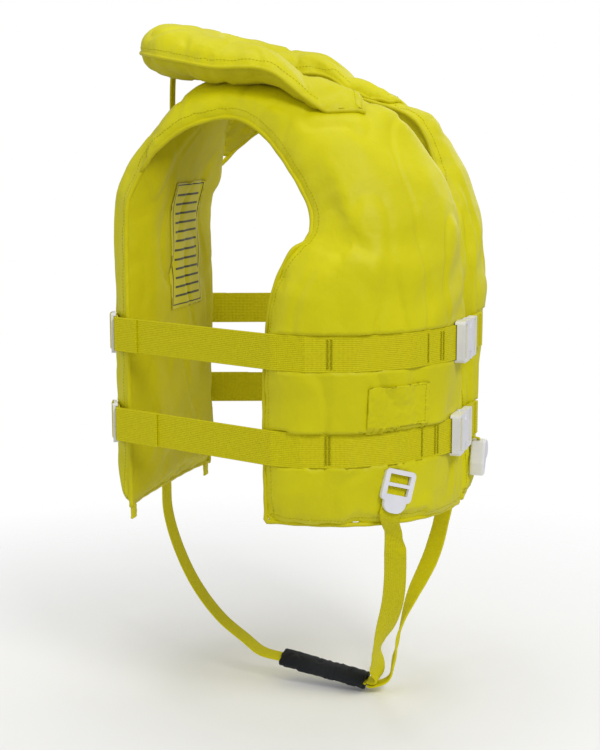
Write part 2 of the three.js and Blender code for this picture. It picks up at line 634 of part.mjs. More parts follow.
// A grid laid over a mesh from one side, with its points and outward normals where the rays land.
function drape(mesh, origin, across, upward, width, height, columns, rows) {
  mesh.updateMatrixWorld(true);
  const outward = across.clone().cross(upward).normalize();
  const ray = new THREE.Raycaster();
  const grid = [];
  for (let j = 0; j <= rows; j += 1) {
    const row = [];
    for (let i = 0; i <= columns; i += 1) {
      const start = origin.clone().addScaledVector(across, (i / columns - 0.5) * width);
      start.addScaledVector(upward, (j / rows - 0.5) * height).addScaledVector(outward, 80);
      ray.set(start, outward.clone().negate());
      row.push({ point: ray.intersectObject(mesh)[0].point, normal: outward, swell: 0 });
    }
    grid.push(row);
  }
  return grid;
}

function addPocket() {
  const angle = THREE.MathUtils.radToDeg(Math.atan2(POCKET.x, FRONT_DEPTH_AT_CHEST * 0.85));
  const normal = torsoNormal(angle, climbAt(angle, POCKET.z)).setZ(0).normalize();
  const across = vector(0, 0, 1).cross(normal);
  const origin = torsoPoint(angle, climbAt(angle, POCKET.z));
  const cover = group.getObjectByName('front_right_cover');
  const grid = drape(cover, origin, across, vector(0, 0, 1), POCKET.width, POCKET.height, 12, 7);
  addPiece('pocket_patch', layer(grid, () => 0.8 + POCKET.thickness, () => 0.8), YELLOW);
}

function addCareLabel() {
  const lining = group.getObjectByName('back_lining');
  const origin = vector(0, BACK_DEPTH, LABEL.z);
  const grid = drape(lining, origin, vector(1, 0, 0), vector(0, 0, 1), LABEL.width, LABEL.height, 8, 12);
  addPiece('care_label', layer(grid, () => 0.5 + LABEL.thickness, () => 0.5), YELLOW);
}

// ---- crotch strap ---------------------------------------------------------------------------------------
// The ladder lock's frame: its own -Y faces outward from the panel and its own Z points up.
function lockFrame() {
  const climb = climbAt(LOCK.angle, LOCK.z);
  const origin = torsoPoint(LOCK.angle, climb);
  const outward = torsoNormal(LOCK.angle, climb);
  const inwardAxis = outward.clone().negate();
  const up = vector(0, 0, 1).projectOnPlane(outward).normalize();
  const across = inwardAxis.clone().cross(up);
  const frame = new THREE.Matrix4().makeBasis(across, inwardAxis, up);
  frame.multiply(new THREE.Matrix4().makeRotationY(degToRad(LOCK.tilt)));
  const local = frame.clone().setPosition(origin).invert();
  const cover = covers.right.clone().applyMatrix4(local);
  const position = cover.getAttribute('position');
  const index = cover.index.array;
  let reach = 0;
  for (let i = 0; i < index.length; i += 3) {
    const [a, b, c] = [0, 1, 2].map((k) => vector(0, 0, 0).fromBufferAttribute(position, index[i + k]));
    for (let u = 0; u <= 8; u += 1) {
      for (let v = 0; u + v <= 8; v += 1) {
        const point = a.clone().multiplyScalar(1 - (u + v) / 8).addScaledVector(b, u / 8).addScaledVector(c, v / 8);
        const near = Math.abs(point.x) < LOCK.width / 2 + 2 && Math.abs(point.z) < LOCK.height / 2 + 4;
        if (near && point.y > -60) reach = Math.max(reach, -point.y);
      }
    }
  }
  return frame.setPosition(origin.addScaledVector(outward, reach));
}

const LOCK_LOW = WEB_OUT + CLEARANCE;
const LOCK_HIGH = LOCK_LOW + LOCK.thickness;
const LOCK_WINDOW_TOP = LOCK.height / 2 - 4;
const LOCK_WINDOW_BOTTOM = -3;
const LOCK_BAR_Z = 5.5;

function ladderLock() {
  const [halfX, halfZ] = [LOCK.width / 2, LOCK.height / 2];
  const top = plate(-halfX, halfX, -halfZ + 10, halfZ, 4, LOCK_LOW, LOCK_HIGH);
  const tab = plate(-halfX + 4, halfX - 4, -halfZ, 0, 9, LOCK_LOW, LOCK_HIGH);
  const half = LOCK.window / 2;
  const window = cutBox(-half, half, LOCK_WINDOW_BOTTOM, LOCK_WINDOW_TOP, 0, LOCK_HIGH + 1);
  const bar = cutBox(-half - 1, half + 1, LOCK_BAR_Z - 1.5, LOCK_BAR_Z + 1.5, LOCK_LOW + 0.6, LOCK_HIGH);
  let solid = toSolid(top).add(toSolid(tab));
  solid = solid.subtract(toSolid(window)).add(toSolid(bar));
  return toGeometry(solid);
}

// The sleeve's frame: its own Z runs along the strap from back to front and its own X is across.
function sleeveFrame() {
  const [back, front] = [vector(...SLEEVE.back), vector(...SLEEVE.front)];
  const along = front.clone().sub(back).normalize();
  const across = vector(1, 0, 0);
  const frame = new THREE.Matrix4().makeBasis(across, along.clone().cross(across), along);
  return { frame: frame.setPosition(back), length: back.distanceTo(front), along };
}

function addCrotchStrap() {
  const frame = lockFrame();
  const half = CROTCH_WIDTH / 2;
  addPair('ladder_lock', ladderLock(), WHITE, 0.35, frame);
  const anchor = cutBox(-half, half, LOCK_BAR_Z + 0.7, LOCK.height / 2 - 1.5, WEB_IN, WEB_OUT);
  addPair('lock_anchor_web', anchor, YELLOW, 0.8, frame);

  const middle = -(WEB_IN + WEB_OUT) / 2;
  const side = vector(1, 0, 0).transformDirection(frame);
  const { frame: sleeve, length, along } = sleeveFrame();
  const sleeveUp = vector(0, 1, 0).transformDirection(sleeve);
  const mouth = vector(...SLEEVE.front).addScaledVector(along, 1.6);
  const onLock = [LOCK_BAR_Z + 0.3, -4, -LOCK.height / 2 + 3, -LOCK.height / 2 - 3];
  const facing = vector(0.42, -0.9, 0.05).normalize();
  const straight = vector(1, 0, 0);
  const across = [side, side, side, side, side.clone().lerp(facing, 0.5), facing, facing,
    vector(0.6, -0.8, 0), vector(0.85, -0.5, 0), vector(0.97, -0.2, 0), straight, straight, straight];
  // The two front straps lie one on the other at the sleeve, the left one below and ahead.
  const frontStrap = (ahead) => {
    const stacked = ahead ? -1 : 1;
    const inMouth = mouth.clone().addScaledVector(sleeveUp, stacked * (WEBBING / 2 + 0.9));
    const path = [...onLock.map((z) => vector(0, middle, z).applyMatrix4(frame)), vector(-107, -119, -349),
      vector(-97, -118, -373), vector(-76, -111, -416), vector(-52, -97, -455), vector(-31, -84 - 6 * ahead, -486),
      vector(-14, -81 - 8 * ahead, -507 - ahead), vector(-5, -79 - 8 * ahead, -519 - 2 * ahead),
      inMouth.clone().addScaledVector(along, 4 + 2 * ahead), inMouth];
    return ribbon(path, across, CROTCH_WIDTH, WEBBING, 52);
  };
  addPiece('crotch_strap_front_right', frontStrap(0), YELLOW);
  addPiece('crotch_strap_front_left', mirrorX(frontStrap(1)), YELLOW);

  const hem = torsoPoint(180, -1.02);
  const insideSleeve = [0.05, 0.5, 1].map((share) => vector(...SLEEVE.back).addScaledVector(along, share * length));
  const backPath = [vector(0, hem.y, hem.z - CLEARANCE), vector(0, hem.y - 1, -372), vector(0, 127, -405),
    vector(0, 108, -444), vector(0, 82, -476), vector(0, 55, -496),
    vector(...SLEEVE.back).addScaledVector(along, -22), ...insideSleeve,
    mouth.clone().addScaledVector(along, -CLEARANCE)];
  const backAcross = backPath.map(() => vector(1, 0, 0));
  addPiece('crotch_strap_back', ribbon(backPath, backAcross, CROTCH_WIDTH, WEBBING, 48), YELLOW);

  const outline = new THREE.Shape();
  outline.absellipse(0, 0, SLEEVE.radius + 1.5, SLEEVE.radius * SLEEVE.flatness, 0, 2 * Math.PI, false, 0);
  const slot = new THREE.Path();
  const [slotX, slotY] = [half + 0.6, WEBBING / 2 + 0.7];
  slot.setFromPoints([new THREE.Vector2(-slotX, -slotY), new THREE.Vector2(-slotX, slotY),
    new THREE.Vector2(slotX, slotY), new THREE.Vector2(slotX, -slotY)]);
  outline.holes.push(slot);
  const settings = { depth: length, bevelEnabled: false, curveSegments: 12 };
  const pad = addPiece('crotch_sleeve', new THREE.ExtrudeGeometry(outline, settings), BLACK, 0.9);
  pad.applyMatrix4(sleeve);
}

// ---- collar ---------------------------------------------------------------------------------------------
const COLLAR_INNER = [[-56, -70], [-61, -28], [-62, 8], [-54, BACK_DEPTH - 95], [-36, BACK_DEPTH - 75],
  [0, BACK_DEPTH - 68]];
const COLLAR_OUTER = [[-86, -84], [-104, -42], [-112, 8], [-107, BACK_DEPTH - 75],
  [-80, BACK_DEPTH - 19], [0, BACK_DEPTH + 6]];

function collarSeam(x, y) {
  const back = Math.max(y - 40, 0);
  const ahead = Math.max(-y - COLLAR_DROP_START, 0);
  return vector(x, y, COLLAR_SEAM_Z + COLLAR_BACK_SLOPE * back - COLLAR_FRONT_DROP * ahead);
}

function collarGrid() {
  const whole = (points) => {
    const right = points.map(([x, y]) => new THREE.Vector2(x, y));
    const left = right.slice(0, -1).map((point) => new THREE.Vector2(-point.x, point.y)).reverse();
    return new THREE.SplineCurve([...right, ...left]);
  };
  const inner = whole(COLLAR_INNER);
  const outer = whole(COLLAR_OUTER);
  return easedSteps(26).map((v) => {
    const [inside, outside] = [inner.getPointAt(v), outer.getPointAt(v)];
    const back = 1 - Math.abs(2 * v - 1);
    return easedSteps(8).map((u) => {
      const place = inside.clone().lerp(outside, u);
      const swell = swellAcross(u, 3) * swellAcross(v, 10) * lerp(0.5, 1, smoothstep(back, 0.1, 0.8));
      return { point: collarSeam(place.x, place.y), normal: vector(0, 0, 1), swell };
    }).reverse();
  });
}

function addCollar() {
  const collar = filledPanel(collarGrid(), COLLAR_FOAM_UP, COLLAR_FOAM_DOWN);
  addPiece('collar_cover', collar.cover, YELLOW);
  addPiece('collar_foam', collar.foam, WHITE);
  addPiece('collar_underside', collar.lining, YELLOW);

  const [rimSide, rimBack] = COLLAR_INNER.slice(-2);
  const rimPoints = [rimSide, rimBack, [-rimSide[0], rimSide[1]]].map(([x, y]) => new THREE.Vector2(x, y));
  const innerRim = new THREE.SplineCurve(rimPoints);
  const bottom = torsoPoint(...SHOULDER_END).z + FABRIC + 0.9;
  const top = collarSeam(...rimSide).z + 1;
  const webPath = [0, 0.25, 0.5, 0.75, 1].map((share) => {
    const point = innerRim.getPoint(share);
    point.setLength(point.length() - WEBBING / 2 - 1.4);
    return vector(point.x, point.y, (bottom + top) / 2);
  });
  const tall = webPath.map(() => vector(0, 0, 1));
  addPiece('collar_neck_web', ribbon(webPath, tall, top - bottom, WEBBING, 14), YELLOW);
}

function addGrabStrap() {
  const { width, thickness } = GRAB_STRAP;
  const y = BACK_DEPTH - 13;
  const cover = group.getObjectByName('back_cover');
  cover.updateMatrixWorld(true);
  const ray = new THREE.Raycaster(vector(0, 200, -4), vector(0, -1, 0));
  const backY = ray.intersectObject(cover)[0].point.y;
  const underside = group.getObjectByName('collar_underside');
  const upward = new THREE.Raycaster(vector(0, y, -20), vector(0, 0, 1));
  const top = upward.intersectObject(underside)[0].point.z;
  const path = [vector(0, y, top - 0.7), vector(0, y + 1, top - 20), vector(0, y + 1, 6), vector(0, y - 1, -2.5),
    vector(0, backY + 0.8, -4)];
  addPiece('collar_grab_strap', ribbon(path, path.map(() => vector(1, 0, 0)), width, thickness, 16), YELLOW);
}

// ---- closure --------------------------------------------------------------------------------------------
const ZIP_TOP = torsoPoint(0, 0.27);
const ZIP_FOOT = torsoPoint(0, -0.97);
const ZIP_WAY = ZIP_FOOT.clone().sub(ZIP_TOP).normalize();

function addZip() {
  const centre = 0.2 + ZIP_TAPE_WIDTH / 2;
  const path = [ZIP_FOOT, ZIP_TOP].map((end) => end.clone().setX(-centre));
  const tape = ribbon(path, [vector(1, 0, 0), vector(1, 0, 0)], ZIP_TAPE_WIDTH, ZIP_TAPE_THICKNESS, 12);
  addPiece('zip_tape_right', tape, YELLOW);
  addPiece('zip_tape_left', mirrorX(tape), YELLOW);

  const up = ZIP_WAY.clone().negate();
  const inward = up.clone().cross(vector(1, 0, 0));
  const frame = new THREE.Matrix4().makeBasis(vector(1, 0, 0), inward, up);
  frame.setPosition(ZIP_TOP.clone().addScaledVector(ZIP_WAY, 9));
  const tapeFace = ZIP_TAPE_THICKNESS / 2 + CLEARANCE;
  const body = plate(-4.4, 4.4, -6, 6, 2, tapeFace, tapeFace + 2.4);
  const bridge = cutBox(-1.4, 1.4, -4.5, 4.5, tapeFace + 2, tapeFace + 4.6);
  const eye = cutBox(-2, 2, -2.2, 2.2, tapeFace + 2.4, tapeFace + 3.4);
  addPiece('zip_slider', carve(body, [bridge], [eye]), WHITE, 0.4).applyMatrix4(frame);
  const pull = plate(-3, 3, -24, 1.6, 2.5, tapeFace + 5, tapeFace + 6.4);
  addPiece('zip_pull', pull, WHITE, 0.4).applyMatrix4(frame);
}

// ---- whistle --------------------------------------------------------------------------------------------
function addWhistle() {
  const { x, y, top, length, width } = WHISTLE;
  const shape = new THREE.Shape();
  shape.moveTo(-2, -6);
  shape.absarc(4.2, -11.5, 8.4, Math.PI * 0.72, -Math.PI * 0.5, true);
  shape.lineTo(-3.4, -length);
  shape.lineTo(-7.2, -length);
  shape.lineTo(-7.2, -length + 10);
  shape.closePath();
  const settings = { depth: width - 4, bevelEnabled: true, bevelSize: 1, bevelThickness: 2, bevelSegments: 2 };
  const body = new THREE.ExtrudeGeometry(shape, { ...settings, curveSegments: 10 });
  body.translate(0, 0, -(width - 4) / 2).rotateX(Math.PI / 2);
  const piece = addPiece('whistle', body, WHITE, 0.35);
  piece.position.set(x, y, top);
  const cordTop = BELT_HEIGHTS.lower - BELT_WIDTH / 2 - 1.1;
  const cordPath = [vector(x - 3, lines.lower.frontY - 1.2, cordTop), vector(x - 1, y + 2, top - 1),
    vector(x + 1.4, y, top - 1.2)];
  const thread = ribbon(cordPath, cordPath.map(() => vector(1, 0, 0)), 2.2, 2.2, 6);
  addPiece('whistle_cord', thread, YELLOW);
}

function addHemTabs() {
  const corner = torsoPoint(-144.5, -1.02);
  const tab = block(corner.x - 1, corner.x + 9, corner.y - 1, corner.y + 1.4, corner.z - 13, corner.z - 0.5);
  addPiece('hem_tab_right', tab, YELLOW);
  addPiece('hem_tab_left', mirrorX(tab), YELLOW);
}

addPocket();
addCareLabel();
addCrotchStrap();
addCollar();
addGrabStrap();
addZip();
addWhistle();
addHemTabs();

export default group;
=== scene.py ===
import math

import bmesh
import bpy
from mathutils import Matrix, Vector, noise
from mathutils.bvhtree import BVHTree
from mathutils.kdtree import KDTree


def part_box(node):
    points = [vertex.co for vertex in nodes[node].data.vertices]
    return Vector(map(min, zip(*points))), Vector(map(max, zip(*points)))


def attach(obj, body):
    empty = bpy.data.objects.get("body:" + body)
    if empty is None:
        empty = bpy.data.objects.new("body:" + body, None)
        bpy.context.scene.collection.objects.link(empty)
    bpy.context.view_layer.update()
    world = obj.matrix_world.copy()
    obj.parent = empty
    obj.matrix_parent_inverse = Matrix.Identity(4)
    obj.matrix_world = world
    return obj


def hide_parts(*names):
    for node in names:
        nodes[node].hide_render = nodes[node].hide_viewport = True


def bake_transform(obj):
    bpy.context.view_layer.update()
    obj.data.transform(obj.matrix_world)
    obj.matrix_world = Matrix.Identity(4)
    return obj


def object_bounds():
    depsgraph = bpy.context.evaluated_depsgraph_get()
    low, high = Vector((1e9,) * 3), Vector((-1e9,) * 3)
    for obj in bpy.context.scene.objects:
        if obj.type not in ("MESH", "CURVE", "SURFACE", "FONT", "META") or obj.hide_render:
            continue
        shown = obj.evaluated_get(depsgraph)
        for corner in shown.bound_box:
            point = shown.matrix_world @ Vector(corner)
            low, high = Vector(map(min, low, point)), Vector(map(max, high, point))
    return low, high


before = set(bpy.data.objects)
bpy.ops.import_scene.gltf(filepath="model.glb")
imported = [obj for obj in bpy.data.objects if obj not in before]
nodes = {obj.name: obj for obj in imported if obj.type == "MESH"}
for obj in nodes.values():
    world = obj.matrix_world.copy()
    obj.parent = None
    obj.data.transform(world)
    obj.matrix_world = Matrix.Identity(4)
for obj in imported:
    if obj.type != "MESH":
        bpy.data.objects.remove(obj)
cad_low, cad_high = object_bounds()
scene = bpy.context.scene

BELT_Z = {"upper": -0.186, "lower": -0.268}
WEB_THICKNESS = 0.0016
CROTCH_WIDTH = 0.020
SIDES = (("right", -1), ("left", 1))
UP = Vector((0, 0, 1))
ACROSS = Vector((1, 0, 0))
WELD = 1e-5  # corners nearer than this are one corner

# ---- camera and light --------------------------------------------------------------------------
camera_data = bpy.data.cameras.new("camera")
camera_data.lens = 72
camera_data.sensor_width = 36
camera = bpy.data.objects.new("camera", camera_data)
camera.location = (-1.315, -0.427, 0.0)
camera.rotation_euler = (math.radians(80.46), 0, math.radians(-72))
scene.collection.objects.link(camera)
scene.camera = camera


LIT_POINT = Vector((0, 0, -0.2))
LIGHT_CAST = 0.42  # how brightly the white surroundings light the jacket
LIGHT_SEEN = 1.0  # how bright they are to the camera


def area_light(name, place, size, power):
    data = bpy.data.lights.new(name, "AREA")
    data.size = size
    data.energy = power
    lamp = bpy.data.objects.new(name, data)
    lamp.location = place
    lamp.rotation_euler = (LIT_POINT - Vector(place)).to_track_quat("-Z", "Y").to_euler()
    scene.collection.objects.link(lamp)


area_light("key", (-1.4, -1.6, 1.6), 0.9, 31)
area_light("fill", (-1.2, 1.6, 0.5), 1.6, 7)
area_light("top", (0.3, 0.2, 1.9), 1.4, 10)
area_light("far", (1.8, -0.6, 0.6), 1.4, 7)

world = bpy.data.worlds.new("world")
world.use_nodes = True
backdrop = world.node_tree.nodes["Background"]
backdrop.inputs[0].default_value = (1, 1, 1, 1)
seen_directly = world.node_tree.nodes.new("ShaderNodeLightPath").outputs["Is Camera Ray"]
strength = world.node_tree.nodes.new("ShaderNodeMapRange")
strength.inputs["To Min"].default_value = LIGHT_CAST
strength.inputs["To Max"].default_value = LIGHT_SEEN
world.node_tree.links.new(seen_directly, strength.inputs["Value"])
world.node_tree.links.new(strength.outputs[0], backdrop.inputs[1])
scene.world = world
scene.view_settings.view_transform = "Standard"


# ---- materials ---------------------------------------------------------------------------------
class Shader:
    """A Principled material with short names for the nodes that feed it."""

    def __init__(self, name, color, roughness, **sockets):
        self.material = bpy.data.materials.new(name)
        self.material.use_nodes = True
        self.tree = self.material.node_tree
        self.bsdf = self.tree.nodes["Principled BSDF"]
        self.bsdf.inputs["Base Color"].default_value = (*color, 1)
        self.bsdf.inputs["Roughness"].default_value = roughness
        for socket, value in sockets.items():
            self.bsdf.inputs[socket.replace("_", " ")].default_value = value
        self.place = self.node("ShaderNodeTexCoord").outputs["Object"]

    def node(self, kind, **settings):
        made = self.tree.nodes.new(kind)
        for key, value in settings.items():
            setattr(made, key, value)
        return made

    def link(self, out, into):
        self.tree.links.new(out, into)

    def noise(self, scale, detail=3.0, roughness=0.5, stretch=(1, 1, 1)):
        mapping = self.node("ShaderNodeMapping")
        mapping.inputs["Scale"].default_value = stretch
        self.link(self.place, mapping.inputs["Vector"])
        texture = self.node("ShaderNodeTexNoise")
        texture.inputs["Scale"].default_value = scale
        texture.inputs["Detail"].default_value = detail
        texture.inputs["Roughness"].default_value = roughness
        self.link(mapping.outputs[0], texture.inputs["Vector"])
        return texture.outputs["Fac"]

    def wave(self, pitch, direction):
        """Straight ridges, one every pitch metres along direction."""
        phase = self.node("ShaderNodeVectorMath", operation="DOT_PRODUCT")
        self.link(self.place, phase.inputs[0])
        phase.inputs[1].default_value = Vector(direction).normalized() * (2 * math.pi / pitch)
        return self.math("SINE", phase.outputs["Value"])

    def math(self, operation, a, b=0.0):
        made = self.node("ShaderNodeMath", operation=operation)
        for socket, value in zip(made.inputs, (a, b)):
            if isinstance(value, (int, float)):
                socket.default_value = value
            else:
                self.link(value, socket)
        return made.outputs[0]

    def less(self, a, b):
        return self.math("LESS_THAN", a, b)

    def size(self, a):
        return self.math("ABSOLUTE", a)

    def tint(self, factor, low, high, spread=(0.35, 0.65)):
        ramp = self.node("ShaderNodeValToRGB")
        ramp.color_ramp.elements[0].position, ramp.color_ramp.elements[1].position = spread
        ramp.color_ramp.elements[0].color = (*low, 1)
        ramp.color_ramp.elements[1].color = (*high, 1)
        self.link(factor, ramp.inputs[0])
        self.link(ramp.outputs[0], self.bsdf.inputs["Base Color"])

    def bump(self, height, distance, strength=1.0):
        made = self.node("ShaderNodeBump")
        made.inputs["Strength"].default_value = strength
        made.inputs["Distance"].default_value = distance
        self.link(height, made.inputs["Height"])
        previous = self.bsdf.inputs["Normal"].links
        if previous:
            self.link(previous[0].from_socket, made.inputs["Normal"])
        self.link(made.outputs[0], self.bsdf.inputs["Normal"])

    def rough(self, factor, low, high):
        span = self.node("ShaderNodeMapRange")
        span.inputs["To Min"].default_value = low
        span.inputs["To Max"].default_value = high
        self.link(factor, span.inputs["Value"])
        self.link(span.outputs[0], self.bsdf.inputs["Roughness"])


def nylon(name, low, high, roughness=0.46, pitch=0.0011):
    """Coated woven nylon: a fine plain weave, faint colour drift and soft crush marks."""
    made = Shader(name, high, roughness,
                  Sheen_Weight=0.03, Sheen_Roughness=0.4, Specular_IOR_Level=0.28)
    made.tint(made.noise(14, 4), low, high)
    made.rough(made.noise(60, 3), roughness - 0.06, roughness + 0.1)
    weave = made.math("MULTIPLY", made.wave(pitch, (1, 1, 0)), made.wave(pitch, (0.2, 0, 1)))
    made.bump(weave, 0.00012, 0.35)
    made.bump(made.noise(120, 4, 0.6, (1, 1, 0.55)), 0.0011, 0.35)
    made.bump(made.noise(38, 3, 0.55), 0.004, 0.4)
    return made.material


def woven(name, low, high, pitch=0.0016):
    """Ribbed webbing: the ridges are in the mesh, and this adds the fine cross threads."""
    made = Shader(name, high, 0.62,
                  Sheen_Weight=0.03, Sheen_Roughness=0.4, Specular_IOR_Level=0.2)
    made.tint(made.noise(420, 4, 0.7), low, high)
    made.bump(made.wave(pitch, (1, 1, 0)), 0.00012, 0.5)
    made.bump(made.noise(900, 2), 0.0001, 0.3)
    return made.material


def plastic(name, low, high, roughness):
    """Moulded plastic: faint clouding and a slightly uneven skin."""
    made = Shader(name, high, roughness, Specular_IOR_Level=0.5)
    made.tint(made.noise(45, 4), low, high)
    made.rough(made.noise(130, 4), roughness - 0.06, roughness + 0.12)
    made.bump(made.noise(700, 3), 0.00008, 0.4)
    made.bump(made.noise(60, 2), 0.0004, 0.18)
    return made.material


YELLOW = nylon("yellow_nylon", (0.70, 0.65, 0.0), (0.78, 0.73, 0.0))
# The lining is the cover's yellow nylon painted darker: painted shade for the jacket's shaded inside and
# neck hole. Its rougher, coarser weave is its own.
LINING_PAINTED_SHADE = nylon("yellow_lining_painted_shade", (0.60, 0.54, 0.001), (0.68, 0.62, 0.002), 0.6, 0.0014)
BINDING = nylon("yellow_binding", (0.64, 0.58, 0.0), (0.74, 0.68, 0.0), 0.5, 0.0009)
WEBBING = woven("yellow_webbing", (0.64, 0.58, 0.0), (0.71, 0.65, 0.0))
THREAD = woven("yellow_thread", (0.56, 0.51, 0.0), (0.66, 0.61, 0.002), pitch=0.0005)
WHITE = plastic("white_plastic", (0.86, 0.86, 0.93), (0.93, 0.93, 0.99), 0.3)
BLACK = nylon("black_fabric", (0.004, 0.005, 0.007), (0.012, 0.015, 0.02), 0.7, 0.0012)


PRINT_DROP = 0.112  # from the shoulder line down to the middle of the print
RULE_PITCH = 0.0085
RULE_SHARE = 0.72
RULE_REACH = 0.029
RULES_REACH = 0.050
FRAME_REACH_X = 0.0335
FRAME_REACH_Z = 0.0555
FRAME_LINE = 0.0006


def care_panel():
    """A plain printed panel: a dark frame line and a few even rules, with nothing to read."""
    made = Shader("care_print", (0.7, 0.64, 0.01), 0.6, Sheen_Weight=0.1)
    split = made.node("ShaderNodeSeparateXYZ")
    made.link(made.place, split.inputs[0])
    across, up = split.outputs["X"], split.outputs["Z"]
    off_centre = made.size(across)
    off_middle = made.size(made.math("ADD", up, PRINT_DROP))
    rule = made.math("GREATER_THAN", made.wave(RULE_PITCH, UP), RULE_SHARE)
    block = made.math("MULTIPLY", made.less(off_centre, RULE_REACH), made.less(off_middle, RULES_REACH))
    bars = made.math("MULTIPLY", rule, block)
    from_side = made.size(made.math("SUBTRACT", off_centre, FRAME_REACH_X))
    from_end = made.size(made.math("SUBTRACT", off_middle, FRAME_REACH_Z))
    edge_x = made.less(from_side, FRAME_LINE)
    edge_z = made.less(from_end, FRAME_LINE)
    frame_x = made.math("MULTIPLY", edge_x, made.less(off_middle, FRAME_REACH_Z + FRAME_LINE))
    frame_z = made.math("MULTIPLY", edge_z, made.less(off_centre, FRAME_REACH_X + FRAME_LINE))
    ink = made.math("MINIMUM", made.math("ADD", bars, made.math("ADD", frame_x, frame_z)), 1.0)
    made.tint(ink, (0.70, 0.635, 0.008), (0.05, 0.055, 0.04), (0.3, 0.7))
    made.bump(made.noise(500, 3), 0.0002, 0.4)
    return made.material


# ---- mesh helpers ------------------------------------------------------------------------------
def in_scene(name, mesh):
    piece = bpy.data.objects.new(name, mesh)
    scene.collection.objects.link(piece)
    return piece


def declared(piece, body, replaces=(), smooth=True, across_joint=None):
    """Shades a piece and says what it rides on and what it stands for."""
    for face in piece.data.polygons:
        face.use_smooth = smooth
    if across_joint:
        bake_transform(piece)
    else:
        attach(piece, body)
    if replaces:
        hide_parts(*replaces)


def new_piece(name, mesh, material, body, replaces=(), smooth=True, across_joint=None):
    """A finished mesh as a declared piece in one material."""
    piece = in_scene(name, mesh)
    mesh.materials.append(material)
    declared(piece, body, replaces, smooth, across_joint)
    return piece


def mesh_from(name, points, faces):
    """A checked mesh from its corners and faces."""
    mesh = bpy.data.meshes.new(name)
    mesh.from_pydata([tuple(p) for p in points], [], faces)
    mesh.validate()
    mesh.update()
    return mesh


def smooth_path(points, count, closed=False):
    """A smooth (Catmull-Rom) run through points, resampled evenly."""
    per_span = 8
    size = len(points)
    dense = []
    spans = size if closed else size - 1
    for i in range(spans):
        ends = [i - 1, i, i + 1, i + 2]
        if closed:
            a, b, c, d = [points[j % size] for j in ends]
        else:
            a, b, c, d = [points[min(max(j, 0), size - 1)] for j in ends]
        for k in range(per_span):
            t = k / per_span
            dense.append(0.5 * (2 * b + (c - a) * t + (2 * a - 5 * b + 4 * c - d) * t * t
                                + (3 * b - a - 3 * c + d) * t ** 3))
    dense.append(points[0].copy() if closed else points[-1].copy())
    reach = [0.0]
    for a, b in zip(dense, dense[1:]):
        reach.append(reach[-1] + (b - a).length)
    result, j = [], 0
    steps = count if closed else count - 1
    for i in range(count):
        want = reach[-1] * i / steps
        while j < len(reach) - 2 and reach[j + 1] < want:
            j += 1
        share = (want - reach[j]) / max(reach[j + 1] - reach[j], 1e-9)
        result.append(dense[j].lerp(dense[j + 1], min(max(share, 0), 1)))
    return result


def tube(name, path, radius, closed=False, sides=8):
    """A round tube along an even path; radius is a length, or a function of the step number."""
    points, faces = [], []
    count = len(path)
    normal = None
    for i, p in enumerate(path):
        after = path[(i + 1) % count] if closed or i < count - 1 else p
        before = path[i - 1] if closed or i else p
        way = (after - before).normalized()
        if normal is None:
            normal = way.orthogonal().normalized()
        normal = (normal - way * normal.dot(way)).normalized()
        side = way.cross(normal)
        wide = radius(i) if callable(radius) else radius
        for k in range(sides):
            angle = 2 * math.pi * k / sides
            points.append(p + (normal * math.cos(angle) + side * math.sin(angle)) * wide)
    rings = count if closed else count - 1
    shift = 0
    if closed:
        first, last = points[:sides], points[-sides:]

        def twist(turn):
            return sum((last[k] - first[(k + turn) % sides]).length for k in range(sides))

        shift = min(range(sides), key=twist)
    for i in range(rings):
        wrap = closed and i == count - 1
        for k in range(sides):
            a, b = i * sides + k, i * sides + (k + 1) % sides
            if wrap:
                c, d = (k + 1 + shift) % sides, (k + shift) % sides
            else:
                c, d = (i + 1) * sides + (k + 1) % sides, (i + 1) * sides + k
            faces.append((a, b, c, d))
    if not closed:
        faces.append(tuple(reversed(range(sides))))
        faces.append(tuple(range((count - 1) * sides, count * sides)))
    return mesh_from(name, points, faces)


def join_meshes(name, meshes):
    """One mesh from several, which are used up."""
    points, faces = [], []
    for mesh in meshes:
        start = len(points)
        points += [v.co.copy() for v in mesh.vertices]
        faces += [tuple(start + i for i in f.vertices) for f in mesh.polygons]
        bpy.data.meshes.remove(mesh)
    return mesh_from(name, points, faces)


THREAD_RADIUS = 0.00032


def stitch_meshes(path, normals, pitch=0.0032, length=0.0022):
    """Thread stitches along an even path: short bars proud of the cloth, their ends sunk in it."""
    made = []
    step = (path[1] - path[0]).length
    skip = max(1, round(pitch / step))
    for i in range(0, len(path) - 1, skip):
        way = (path[i + 1] - path[i]).normalized()
        lift = normals[i] * THREAD_RADIUS * 0.7
        ends = [path[i] + lift + way * (length * s) for s in (0, 0.5, 1)]
        ends[0] -= normals[i] * THREAD_RADIUS * 1.2
        ends[2] -= normals[i] * THREAD_RADIUS * 1.2
        made.append(tube("stitch", ends, THREAD_RADIUS, sides=5))
    return made


def tree_of(*meshes):
    """A search tree over the faces of one or more meshes."""
    points, faces = [], []
    for mesh in meshes:
        start = len(points)
        points += [v.co.copy() for v in mesh.vertices]
        faces += [tuple(start + i for i in f.vertices) for f in mesh.polygons]
    return BVHTree.FromPolygons(points, faces)


def welded(node):
    """A CAD node's mesh, copied for editing, with its double corners joined."""
    bm = bmesh.new()
    bm.from_mesh(nodes[node].data)
    bmesh.ops.remove_doubles(bm, verts=bm.verts, dist=WELD)
    return bm


def as_mesh(name, bm):
    mesh = bpy.data.meshes.new(name)
    bm.to_mesh(mesh)
    bm.free()
    return mesh


RIM_REACH = 0.0007


